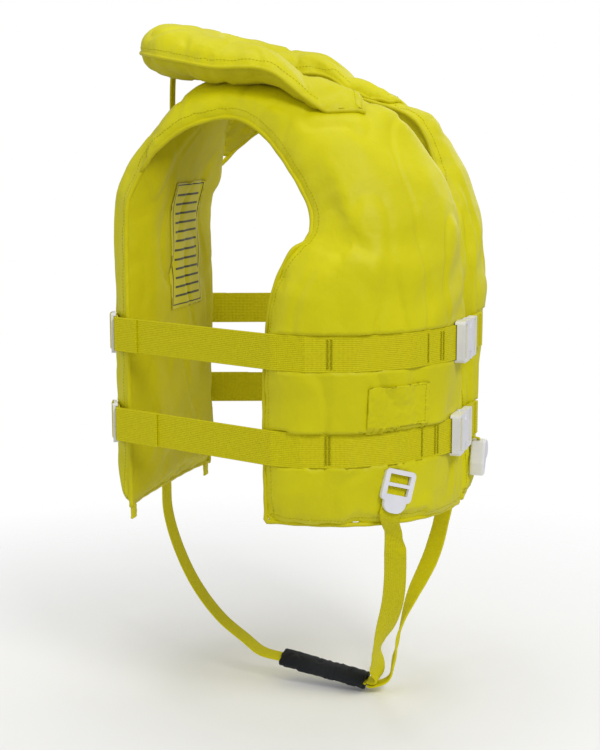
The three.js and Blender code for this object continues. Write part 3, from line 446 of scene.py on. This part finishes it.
def rim_between(first, second):
    """The closed seam where two CAD layers meet, as an ordered loop of points."""
    other = tree_of(nodes[second].data)
    bm = welded(first)
    rim = {v for v in bm.verts if (other.find_nearest(v.co)[3] or 1) < RIM_REACH}
    beside = {v: {e.other_vert(v) for e in v.link_edges} & rim for v in rim}
    at = min(rim, key=lambda v: (len(beside[v]), v.co.z, v.co.x))
    loop, seen = [], set()
    while at is not None:
        seen.add(at)
        loop.append(at.co.copy())
        ahead = beside[at] - seen
        at = min(ahead, key=lambda v: (len(beside[v]), (v.co - at.co).length)) if ahead else None
    bm.free()
    return loop


def applied(piece):
    """Bakes a piece's modifiers into a mesh of its own."""
    graph = bpy.context.evaluated_depsgraph_get()
    graph.update()
    mesh = bpy.data.meshes.new_from_object(piece.evaluated_get(graph))
    piece.modifiers.clear()
    old, piece.data = piece.data, mesh
    bpy.data.meshes.remove(old)


def recoated(piece, *materials):
    piece.data.materials.clear()
    for material in materials:
        piece.data.materials.append(material)


def remeshed(name, mesh, voxel, rounds):
    """A piece whose mesh is closed up, made even and rounded off."""
    piece = in_scene(name, mesh)
    remesh = piece.modifiers.new("remesh", "REMESH")
    remesh.mode, remesh.voxel_size = "VOXEL", voxel
    relax = piece.modifiers.new("relax", "SMOOTH")
    relax.factor, relax.iterations = 0.5, rounds
    applied(piece)
    return piece


def clamped(value):
    return min(max(value, 0.0), 1.0)


def bell(value, width):
    """1 at no distance, fading evenly to both sides over width."""
    return math.exp(-(value / width) ** 2)


def fading(distance, width):
    """1 at no distance, fading away over width."""
    return math.exp(-distance / width)


# ---- padded pieces -----------------------------------------------------------------------------
# Hard pieces and straps lie on or in the pads, and the cloth stays below them.
HARD = [n for n in nodes
        if n.startswith(("belt_", "buckle_", "ladder_", "lock_", "triglide_", "tail_", "zip_",
                         "latch_", "collar_grab", "whistle", "crotch_"))]
HARD_GAP = 0.0009
WHISTLE_GAP = 0.0026
WHISTLE_PIVOT = Vector((0.019, -0.166, -0.2845))
WHISTLE_SWINGS = (-4, -8, -12)
PROBE_START = 0.007  # how far under the cloth a search for an obstacle begins
PROBE_LENGTH = 0.020


def swept_whistle():
    """The whistle at three points of its swing, so that the pad leaves it room."""
    mesh = nodes["whistle"].data
    faces = [tuple(f.vertices) for f in mesh.polygons]
    trees = []
    for degrees in WHISTLE_SWINGS:
        turn = Matrix.Rotation(math.radians(degrees), 3, "Y")
        points = [WHISTLE_PIVOT + turn @ (v.co - WHISTLE_PIVOT) for v in mesh.vertices]
        trees.append(BVHTree.FromPolygons(points, faces))
    return trees


obstacles = [(tree_of(*(nodes[n].data for n in HARD)), HARD_GAP)]
obstacles += [(tree, WHISTLE_GAP) for tree in swept_whistle()]
CLOTH_FRAMES = 20
AIR_PRESSURE = 4


def inflate(piece, cap):
    """Swells a closed pad with air pressure, and lets no point move further than cap."""
    before = [v.co.copy() for v in piece.data.vertices]
    cloth = piece.modifiers.new("cloth", "CLOTH")
    settings = cloth.settings
    settings.quality = 4
    settings.mass = 0.3
    settings.tension_stiffness = settings.compression_stiffness = 12
    settings.bending_stiffness = 0.4
    settings.use_pressure = True
    settings.uniform_pressure_force = AIR_PRESSURE
    settings.shrink_min = -0.03
    settings.effector_weights.gravity = 0
    cloth.collision_settings.use_collision = False
    cloth.point_cache.frame_start, cloth.point_cache.frame_end = 1, CLOTH_FRAMES
    for number in range(1, CLOTH_FRAMES + 1):
        scene.frame_set(number)
    applied(piece)
    scene.frame_set(1)
    for v, old in zip(piece.data.vertices, before):
        move = v.co - old
        if move.length > cap:
            v.co = old + move * (cap / move.length)


SEAM_STEP = 0.003
SEAM_REACH = 0.011  # how far into a pad the pull onto its seam is felt
SEAM_EVENING = range(-4, 5)
SEAM_GRIP, SEAM_GRIP_REACH = 0.6, 0.005
PUCKER_REACH = 0.013
CALM_REACH = 0.02  # folds fade out within this distance of a seam
RIDGE_SPAN = 0.16
# Upright ripples beside the closure, and slanting ones where the chest hangs slack.
PLACKET_X, PLACKET_WIDTH, PLACKET_DEPTH = 0.022, 0.016, 0.0022
SLACK_Z, SLACK_WIDTH, SLACK_DEPTH = -0.125, 0.05, 0.0016


def along_seam(piece, loop, seam):
    """Moves a pad's edge out onto its seam, evened out along the seam."""
    skin = tree_of(piece.data)
    shifts = [p - skin.find_nearest(p)[0] for p in loop]
    count = len(loop)
    shifts = [sum((shifts[(i + k) % count] for k in SEAM_EVENING), Vector()) / len(SEAM_EVENING)
              for i in range(count)]
    for v in piece.data.vertices:
        q, i, away = seam.find(v.co)
        v.co += shifts[i] * fading(max(0.0, away - shifts[i].length), SEAM_REACH)
    piece.data.update()


def puckers(along, away, depth, pitch, seed):
    """How far the cloth is gathered in at a point away from the seam."""
    wander = noise.noise(Vector((along * 18, seed, 0.3)))
    fold = (0.5 + 0.5 * math.sin(2 * math.pi * along / pitch + 5 * wander)) ** 1.6
    return -depth * fold * fading(away, PUCKER_REACH) * (0.35 + 0.65 * abs(math.sin(along * 31 + seed)))


def folds(p, crease, seed):
    """Broad swells, small ripples and sharp creases of the cloth at a point."""
    wide = noise.noise(Vector((p.x * 16 + seed, p.y * 16, p.z * 9)))
    fine = noise.noise(Vector((p.x * 48, p.y * 48 + seed, p.z * 26)))
    ridge = abs(noise.noise(Vector((p.x * 26 + 3 * seed, p.y * 26, p.z * 12 + seed))))
    return 0.0030 * wide + 0.0013 * fine - crease * max(0.0, RIDGE_SPAN - ridge) / RIDGE_SPAN


def pad(name, layers, body, voxel=0.005, cap=0.005, pucker=0.0022, pitch=0.024, seed=0.0,
        crease=0.0022, settle=None):
    """A sewn pad: CAD layers as one swollen form, gathered at its seam and pressed in by straps.

    cap limits the swelling, pucker and pitch shape the gathers, crease deepens the folds, and settle
    is a last change to the points. The pad and its seam loop are given back.
    """
    cover, lining = layers[0], layers[-1]
    rim = rim_between(cover, lining)
    mesh = join_meshes(name, [nodes[n].data.copy() for n in layers])
    piece = remeshed(name, mesh, voxel, rounds=7)
    inflate(piece, cap)
    front_tree, back_tree = tree_of(nodes[cover].data), tree_of(nodes[lining].data)
    # Faces on the lining side get the darker lining nylon, painted shade for the jacket's inside.
    recoated(piece, YELLOW, LINING_PAINTED_SHADE)
    for face in piece.data.polygons:
        to_back, to_front = (t.find_nearest(face.center)[3] for t in (back_tree, front_tree))
        face.material_index = 1 if to_back < to_front else 0
    finer = piece.modifiers.new("finer", "SUBSURF")
    finer.levels = finer.render_levels = 1
    applied(piece)

    length = sum((a - b).length for a, b in zip(rim, rim[1:]))
    loop = smooth_path(rim, max(60, int(length / SEAM_STEP)), closed=True)
    seam = KDTree(len(loop))
    for i, p in enumerate(loop):
        seam.insert(p, i)
    seam.balance()
    step = (loop[1] - loop[0]).length
    along_seam(piece, loop, seam)
    moved = []
    for v in piece.data.vertices:
        p, n = v.co, v.normal
        q, i, away = seam.find(p)
        calm = 1 - fading(away, CALM_REACH)
        offset = puckers(i * step, away, pucker, pitch, seed) + calm * folds(p, crease, seed)
        if name.startswith("front"):
            beside = bell(abs(p.x) - PLACKET_X, PLACKET_WIDTH)
            ripple = math.sin(abs(p.x) * 420 + 5 * noise.noise(p * 9) + seed)
            offset += calm * beside * PLACKET_DEPTH * ripple
            slack = bell(p.z - SLACK_Z, SLACK_WIDTH)
            drape = math.sin(p.x * 75 - p.z * 95 + 6 * noise.noise(p * 8))
            offset += calm * slack * SLACK_DEPTH * drape
        for tree, gap in obstacles:
            hit = tree.ray_cast(p - n * PROBE_START, n, PROBE_LENGTH)
            if hit[3] is not None:
                offset = min(offset, hit[3] - PROBE_START - gap)
        moved.append((p + n * offset).lerp(q, SEAM_GRIP * bell(away, SEAM_GRIP_REACH)))
    if settle:
        moved = settle(moved, loop)
    for v, p in zip(piece.data.vertices, moved):
        v.co = p
    piece.data.update()
    declared(piece, body, layers)
    return piece, loop


WAIST_Z, CHEST_Z = -0.35, -0.09


def outward(p):
    """Away from the wearer's body line, which runs up the middle from waist to chest."""
    return (p - Vector((0, 0, min(max(p.z, WAIST_Z), CHEST_Z)))).normalized()


STITCH_INSET = 0.0065


def seam_trim(name, piece, loop, body, out=outward, width=0.0021):
    """Corded binding along a seam, and a row of stitches beside it on the outer side."""
    bound = tube(name + "_piping", loop, lambda i: width * (1 + 0.08 * math.sin(i * 0.9)), closed=True)
    new_piece(name + "_piping", bound, BINDING, body)
    surface = tree_of(piece.data)
    path = []
    for i, p in enumerate(loop):
        way = (loop[(i + 1) % len(loop)] - loop[i - 1]).normalized()
        face = out(p)
        inward = way.cross(face).normalized() * STITCH_INSET
        tries = [surface.find_nearest(p + inward * turn + face * STITCH_INSET * 0.7) for turn in (1, -1)]
        path.append(min(tries, key=lambda t: t[3])[0])
    run = smooth_path(path, len(path) * 3, closed=True)
    snapped = [surface.find_nearest(p) for p in run]
    made = stitch_meshes([s[0] for s in snapped], [s[1] for s in snapped])
    new_piece(name + "_stitching", join_meshes(name + "_stitching", made), THREAD, body)


pads = {}
for side, sign in SIDES:
    layers = [f"front_{side}_{part}" for part in ("cover", "foam", "lining")]
    piece, loop = pad(f"front_panel_{side}", layers, "jacket", seed=3.1 * sign + 5)
    pads[f"front_{side}"] = piece
    seam_trim(f"front_{side}", piece, loop, "jacket")
pads["back"], back_loop = pad("back_panel", ["back_cover", "back_foam", "back_lining"], "jacket",
                              seed=1.7)
seam_trim("back", pads["back"], back_loop, "jacket")


FRONT_END_Y = 0.012  # the collar begins to thin and drop forward of this
FRONT_END_RUN = 0.075
FRONT_END_DROP = 0.021
FRONT_END_THINNING = 0.45
SHOULDER_GAP = 0.0012
PRESSED_SHARE = 0.45  # of the pillow's thickness, left where it rests on a shoulder
DOWN = Vector((0, 0, -1))


def settle_collar(points, loop):
    """Thins the pillow's front ends and lets them lie on the shoulders."""
    shoulders = [tree_of(pads[name].data) for name in ("front_right", "front_left")]
    underside = tree_of(nodes["collar_underside"].data)

    def lowered(p):
        share = clamped((FRONT_END_Y - p.y) / FRONT_END_RUN)
        share = share * share * (3 - 2 * share)
        hits = [t.ray_cast(Vector((p.x, p.y, 0.2)), DOWN, 0.4) for t in shoulders]
        tops = [h[0].z for h in hits if h[0] is not None]
        below = underside.ray_cast(Vector((p.x, p.y, -0.05)), UP, 0.3)
        base = min(below[0].z, p.z) if below[0] is not None else p.z
        z = base + (p.z - base) * (1 - FRONT_END_THINNING * share) - FRONT_END_DROP * share
        if tops and share > 0:
            z = max(z, min(p.z, max(tops) + SHOULDER_GAP + (p.z - base) * PRESSED_SHARE))
        return Vector((p.x, p.y, z))

    loop[:] = [lowered(p) for p in loop]
    return [lowered(p) for p in points]


pads["collar"], collar_loop = pad(
    "collar_pillow", ["collar_cover", "collar_foam", "collar_underside"], "collar", voxel=0.0045, cap=0.004,
    pucker=0.0034, pitch=0.019, seed=8.3, crease=0.0034, settle=settle_collar)
seam_trim("collar", pads["collar"], collar_loop, "collar", out=lambda p: UP, width=0.0018)


# ---- webbing -----------------------------------------------------------------------------------
RIB = 0.0016


# The back belts' ribs fade out before their tri-glides.
GLIDE_X = 0.068
GLIDE_FADE = 0.008


def ribbed(node, across, body, material=None, lift=0.00028, across_joint=None):
    """Gives a flat CAD strap its lengthwise ribs, cut square to the across direction."""
    bm = welded(node)
    across = across.normalized()
    reaches = [v.co.dot(across) for v in bm.verts]
    low, high = min(reaches), max(reaches)
    count = max(4, 2 * round((high - low) / RIB))
    for k in range(1, count):
        level = across * (low + (high - low) * k / count)
        everything = bm.verts[:] + bm.edges[:] + bm.faces[:]
        bmesh.ops.bisect_plane(bm, geom=everything, plane_co=level, plane_no=across)
    bm.normal_update()
    for v in bm.verts:
        row = round((v.co.dot(across) - low) / (high - low) * count)
        flat = v.normal - across * v.normal.dot(across)
        if flat.length > 0.3:
            share = clamped((GLIDE_X - abs(v.co.x)) / GLIDE_FADE) if "_back" in node else 1.0
            v.co += flat.normalized() * lift * (share if row % 2 else -0.2)
    mesh = as_mesh(node + "_ribbed", bm)
    new_piece(node + "_woven", mesh, material or WEBBING, body, (node,), False, across_joint)


def rings_of(node, width, thickness):
    """Centre and across direction of each ring of a CAD ribbon, in order from its top.

    A ring is found as two edges as long as the ribbon is wide, joined by two as long as it is thick.
    """
    off_square, alike, same_ring = 0.05, 0.95, 0.0009
    bm = welded(node)
    thin = {}
    for e in bm.edges:
        if abs(e.calc_length() - thickness) < 0.02 * thickness:
            for v in e.verts:
                thin.setdefault(v, []).append(e)
    rings = []
    for e in bm.edges:
        a, b = e.verts
        if abs(e.calc_length() - width) > 0.005 * width or a not in thin or b not in thin:
            continue
        side = (b.co - a.co).normalized()
        for first in thin[a]:
            for second in thin[b]:
                c, d = first.other_vert(a), second.other_vert(b)
                left, right = (c.co - a.co).normalized(), (d.co - b.co).normalized()
                square = abs(left.dot(side)) < off_square and abs(right.dot(side)) < off_square
                if square and left.dot(right) > alike:
                    middle = (a.co + b.co + c.co + d.co) / 4
                    if all((middle - r[0]).length > same_ring for r in rings):
                        rings.append((middle, side))
    bm.free()
    rings.sort(key=lambda r: -r[0].z)
    ordered = [rings.pop(0)]
    while rings:
        i = min(range(len(rings)), key=lambda k: (rings[k][0] - ordered[-1][0]).length)
        middle, side = rings.pop(i)
        if side.dot(ordered[-1][1]) < 0:
            side = -side
        ordered.append((middle, side))
    return ordered


def strap(node, width, thickness, body):
    """A woven strap swept along a CAD ribbon, with raised ribs and thinner edges."""
    lift, thread, thin_from, thin_run = 0.00025, 0.00006, 0.92, 0.08
    rings = rings_of(node, width, thickness)
    count = len(rings) * 4
    centres = smooth_path([r[0] for r in rings], count)
    sides = []
    for i in range(count):
        at = i * (len(rings) - 1) / (count - 1)
        k = min(int(at), len(rings) - 2)
        sides.append(rings[k][1].lerp(rings[k + 1][1], at - k).normalized())
    rows = max(4, 2 * round(width / RIB))
    points, faces = [], []
    section = []
    for k in range(rows + 1):
        u = 2 * k / rows - 1
        edge = 1 - max(0.0, abs(u) - thin_from) / thin_run * 0.5
        section.append((u * width / 2, thickness / 2 * edge + (lift if k % 2 else 0)))
    section += [(u, -h) for u, h in reversed(section)]
    size = len(section)
    for i, (centre, side) in enumerate(zip(centres, sides)):
        way = centres[min(i + 1, count - 1)] - centres[max(i - 1, 0)]
        face = way.cross(side).normalized()
        tick = thread * (i % 2)
        points += [centre + side * u + face * (h + (tick if h > 0 else -tick)) for u, h in section]
    for i in range(count - 1):
        for k in range(size):
            a, b = i * size + k, i * size + (k + 1) % size
            faces.append((b, a, a + size, b + size))
    faces.append(tuple(range(size)))
    faces.append(tuple(reversed(range((count - 1) * size, count * size))))
    mesh = mesh_from(node + "_woven", points, faces)
    bm = bmesh.new()
    bm.from_mesh(mesh)
    bmesh.ops.recalc_face_normals(bm, faces=bm.faces)
    bm.to_mesh(mesh)
    bm.free()
    new_piece(node + "_woven", mesh, WEBBING, body, (node,), smooth=False)


def flat_across(node):
    """The width direction of a short flat strap: its most upright edge of some length."""
    mesh = nodes[node].data

    def upright(edge):
        a, b = (mesh.vertices[k].co for k in edge.vertices)
        return abs((a - b).normalized().dot(UP)) if (a - b).length > 0.02 else 0

    a, b = (mesh.vertices[k].co for k in max(mesh.edges, key=upright).vertices)
    return a - b


for level in ("upper", "lower"):
    for part in ("right", "left", "back"):
        ribbed(f"belt_{level}_{part}", UP, "jacket")
    ribbed(f"buckle_{level}_web_tab", UP, f"buckle_{level}_male")
    for side, _ in SIDES:
        ribbed(f"tail_{level}_{side}", flat_across(f"tail_{level}_{side}"), f"triglide_{level}_{side}")
for side, sign in SIDES:
    ribbed(f"lock_anchor_web_{side}", Vector((-0.685 * sign, -0.674, -0.275)), "jacket")
    strap(f"crotch_strap_front_{side}", CROTCH_WIDTH, WEB_THICKNESS, "jacket")
strap("crotch_strap_back", CROTCH_WIDTH, WEB_THICKNESS, "jacket")
# The neck web takes the lining nylon, painted darker as painted shade in the neck hole.
ribbed("collar_neck_web", UP, "collar", LINING_PAINTED_SHADE, 0.00015)
strap_low, strap_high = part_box("collar_grab_strap")
strap_foot = (0, strap_high.y, strap_low.z + 0.002)
strap_head = (0, strap_high.y, strap_high.z)
ribbed("collar_grab_strap", ACROSS, "jacket", across_joint=("jacket", "collar", strap_foot, strap_head))


# ---- flat sewn pieces --------------------------------------------------------------------------
PATCH_GAP = 0.0004


def laid_on(node, surface, cover_node, gap, thickness, body, material, ripple=0.0):
    """A flat CAD patch laid again on the swollen pad over the CAD face it was drawn on."""
    tree, cad = tree_of(surface.data), tree_of(nodes[cover_node].data)
    bm = welded(node)
    bmesh.ops.subdivide_edges(bm, edges=bm.edges[:], cuts=3, use_grid_fill=True)
    outer = {v: cad.find_nearest(v.co)[3] > gap + thickness / 2 for v in bm.verts}
    for v in bm.verts:
        near = tree.find_nearest(v.co)
        wave = ripple * noise.noise(v.co * 90) + ripple * 0.6 * noise.noise(v.co * 210)
        height = PATCH_GAP + (thickness if outer[v] else 0) + abs(wave)
        v.co = near[0] + near[1] * height
    return new_piece(node + "_sewn", as_mesh(node + "_sewn", bm), material, body, (node,))


patch = laid_on("pocket_patch", pads["front_right"], "front_right_cover", gap=0.0008, thickness=0.0014,
                body="jacket", material=YELLOW, ripple=0.0011)
laid_on("care_label", pads["back"], "back_lining", gap=0.0004, thickness=0.0006,
        body="jacket", material=care_panel())


def edge_stitches(name, piece, corners, inset, body):
    """Stitches on a rectangle that is laid over a piece."""
    tree = tree_of(piece.data)
    centre = sum(corners, Vector()) / 4
    inner = [c + (centre - c).normalized() * inset for c in corners]
    made = []
    for a, b in zip(inner, inner[1:] + inner[:1]):
        count = max(8, int((b - a).length / 0.001))
        lift = outward(centre) * 0.006
        hits = [tree.find_nearest(a.lerp(b, i / count) + lift) for i in range(count + 1)]
        made += stitch_meshes([h[0] for h in hits], [h[1] for h in hits], pitch=0.003, length=0.002)
    new_piece(name, join_meshes(name, made), THREAD, body)


def box_corners(node):
    """The four outermost corners of a patch, in order round it."""
    points = [v.co for v in nodes[node].data.vertices]
    middle = sum(points, Vector()) / len(points)
    side = UP.cross(outward(middle)).normalized()
    reach = [((p - middle).dot(side), (p - middle).z, p) for p in points]
    turns = ((1, 1), (1, -1), (-1, -1), (-1, 1))
    return [max(reach, key=lambda r: r[0] * a + r[1] * b)[2].copy() for a, b in turns]


edge_stitches("pocket_stitching", patch, box_corners("pocket_patch"), 0.0035, "jacket")


TACK_HALF = 0.0125
TACK_POINTS = 40
TACK_SWAY = 0.0009
TACK_FRONT, TACK_FRONT_PAIR, TACK_MIDDLE = (0.080, -0.153), (0.083, -0.1515), (0.0975, -0.1435)
TACK_SIDE, TACK_SIDE_PAIR = (0.1585, -0.0745), (0.1575, -0.0775)
TACKS_BACK = [(-0.055, 0.154), (0.055, 0.154), (-0.004, 0.155), (0.004, 0.155)]


def mirrored(places):
    return [(-x, y) for x, y in places]


def bar_tacks(name, node, places, height):
    """Upright zigzag rows sewn through a belt, at (x, y) points taken from the jacket's middle."""
    tree = tree_of(nodes[node].data)
    made = []
    for x, y in places:
        path = []
        away = Vector((x, y, 0)).normalized()
        for i in range(TACK_POINTS):
            z = height - TACK_HALF + 2 * TACK_HALF * i / (TACK_POINTS - 1)
            hit = tree.ray_cast(Vector((x, y, z)) + away * 0.03, -away, 0.06)
            if hit[0] is not None:
                side = Vector((-hit[1].y, hit[1].x, 0)) * (TACK_SWAY if i % 2 else -TACK_SWAY)
                path.append(hit[0] + hit[1] * 0.0003 + side)
        if len(path) > 4:
            made.append(tube("tack", path, 0.0004, sides=5))
    if made:
        new_piece(name, join_meshes(name, made), THREAD, "jacket")


for level, z in BELT_Z.items():
    right, left, back = (f"belt_{level}_{part}" for part in ("right", "left", "back"))
    bar_tacks(f"tacks_{level}_front", right, mirrored([TACK_FRONT, TACK_FRONT_PAIR, TACK_MIDDLE]), z)
    bar_tacks(f"tacks_{level}_side", right, mirrored([TACK_SIDE, TACK_SIDE_PAIR]), z)
    bar_tacks(f"tacks_{level}_far", left, [TACK_FRONT, TACK_FRONT_PAIR, TACK_SIDE], z)
    bar_tacks(f"tacks_{level}_back", back, TACKS_BACK, z)

# ---- crotch sleeve -----------------------------------------------------------------------------
sleeve = remeshed("crotch_sleeve_padded", nodes["crotch_sleeve"].data.copy(), voxel=0.0016, rounds=3)
sleeve_way = Vector((0, -0.987, -0.163))  # along the strap it sits on
CREASE_SPAN = 0.15
sleeve_low, sleeve_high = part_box("crotch_sleeve")
sleeve_middle = (sleeve_low + sleeve_high) / 2
for v in sleeve.data.vertices:
    along = (v.co - sleeve_middle).dot(sleeve_way)
    axis = sleeve_middle + sleeve_way * along
    if (v.co - axis).dot(v.normal) > 0:
        crush = noise.noise(Vector((v.co.x * 60, along * 130, v.co.z * 60)))
        creases = abs(noise.noise(Vector((v.co.x * 40, along * 90, v.co.z * 40 + 3))))
        v.co += v.normal * (0.0009 * crush - 0.0012 * max(0.0, CREASE_SPAN - creases) / CREASE_SPAN)
recoated(sleeve, BLACK)
declared(sleeve, "crotch_sleeve", ("crotch_sleeve",))

# ---- zip ---------------------------------------------------------------------------------------
ZIP_TOP = Vector((0, -0.132882, -0.095084))
ZIP_FOOT = Vector((0, -0.15249, -0.333578))
ZIP_WAY = (ZIP_FOOT - ZIP_TOP).normalized()
ZIP_FACE = ZIP_WAY.cross(ACROSS).normalized()
if ZIP_FACE.y > 0:
    ZIP_FACE.negate()
TOOTH_COUNT = 96
TOOTH_RADIUS = 0.00062
for side, _ in SIDES:
    ribbed(f"zip_tape_{side}", ACROSS, "jacket", BINDING, 0.00008)
teeth = []
for i in range(TOOTH_COUNT):
    sign = 1 if i % 2 else -1
    place = ZIP_TOP.lerp(ZIP_FOOT, (i + 0.5) / TOOTH_COUNT) + ZIP_FACE * 0.0009
    side = Vector((sign, 0, 0))
    ends = [place + side * 0.0019 - ZIP_FACE * 0.0004, place + side * 0.0010, place - side * 0.0006,
            place - side * 0.0009 - ZIP_FACE * 0.0003]
    teeth.append(tube("tooth", ends, TOOTH_RADIUS, sides=6))
new_piece("zip_teeth", join_meshes("zip_teeth", teeth), BINDING, "jacket")

# ---- small fabric pieces -----------------------------------------------------------------------
for side, _ in SIDES:
    node = f"hem_tab_{side}"
    tab = remeshed(node + "_folded", nodes[node].data.copy(), voxel=0.0006, rounds=4)
    for v in tab.data.vertices:
        v.co += v.normal * 0.0004 * noise.noise(v.co * 260)
    recoated(tab, BINDING)
    declared(tab, "jacket", (node,))

cord_low, cord_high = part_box("whistle_cord")
CORD_POINTS = 40
CORD_INSET = 0.0011
STRAND_RADIUS = 0.00085
STRAND_OFFSET = 0.00075
CORD_TWIST = 9
strands = []
for start in (0, math.pi):
    path = []
    for i in range(CORD_POINTS):
        t = i / (CORD_POINTS - 1)
        base = Vector((
            cord_low.x + CORD_INSET + (cord_high.x - cord_low.x - 2 * CORD_INSET) * t,
            cord_high.y - CORD_INSET + (cord_low.y - cord_high.y + 2 * CORD_INSET) * min(1, 1.6 * t),
            cord_high.z - (cord_high.z - cord_low.z) * t))
        angle = start + CORD_TWIST * t
        path.append(base + Vector((math.cos(angle), math.sin(angle), 0)) * STRAND_OFFSET)
    strands.append(tube("strand", path, STRAND_RADIUS))
new_piece("whistle_cord_twisted", join_meshes("whistle_cord_twisted", strands), THREAD, "whistle",
          ("whistle_cord",))

# ---- moulded plastic ---------------------------------------------------------------------------
MOULDED = ("buckle_", "latch_arm", "triglide", "ladder_lock", "whistle", "zip_slider", "zip_pull")
for name, node in nodes.items():
    if name.startswith(MOULDED) and not name.endswith(("web_tab", "cord")):
        recoated(node, WHITE)

# ---- floor -------------------------------------------------------------------------------------
FLOOR_REACH = 3.2
FLOOR_GAP = 0.002
FLOOR_SOLID, FLOOR_GONE = 0.12, 0.75  # it fades out between these distances from the middle
floor_corners = [(x * FLOOR_REACH, y * FLOOR_REACH, cad_low.z - FLOOR_GAP)
                 for x, y in ((-1, -1), (1, -1), (1, 1), (-1, 1))]
floor = in_scene("floor", mesh_from("floor", floor_corners, [(0, 1, 2, 3)]))
ground = Shader("floor", (0.97, 0.97, 0.97), 0.9, Specular_IOR_Level=0.0)
flattened = ground.node("ShaderNodeVectorMath", operation="MULTIPLY")
flattened.inputs[1].default_value = (1, 1, 0)
ground.link(ground.place, flattened.inputs[0])
distance = ground.node("ShaderNodeVectorMath", operation="LENGTH")
ground.link(flattened.outputs[0], distance.inputs[0])
fade = ground.node("ShaderNodeMapRange")
fade.inputs["From Min"].default_value = FLOOR_SOLID
fade.inputs["From Max"].default_value = FLOOR_GONE
ground.link(distance.outputs["Value"], fade.inputs["Value"])
nothing = ground.node("ShaderNodeBsdfTransparent")
mixed = ground.node("ShaderNodeMixShader")
ground.link(fade.outputs[0], mixed.inputs[0])
ground.link(ground.bsdf.outputs[0], mixed.inputs[1])
ground.link(nothing.outputs[0], mixed.inputs[2])
ground.link(mixed.outputs[0], ground.tree.nodes["Material Output"].inputs["Surface"])
floor.data.materials.append(ground.material)
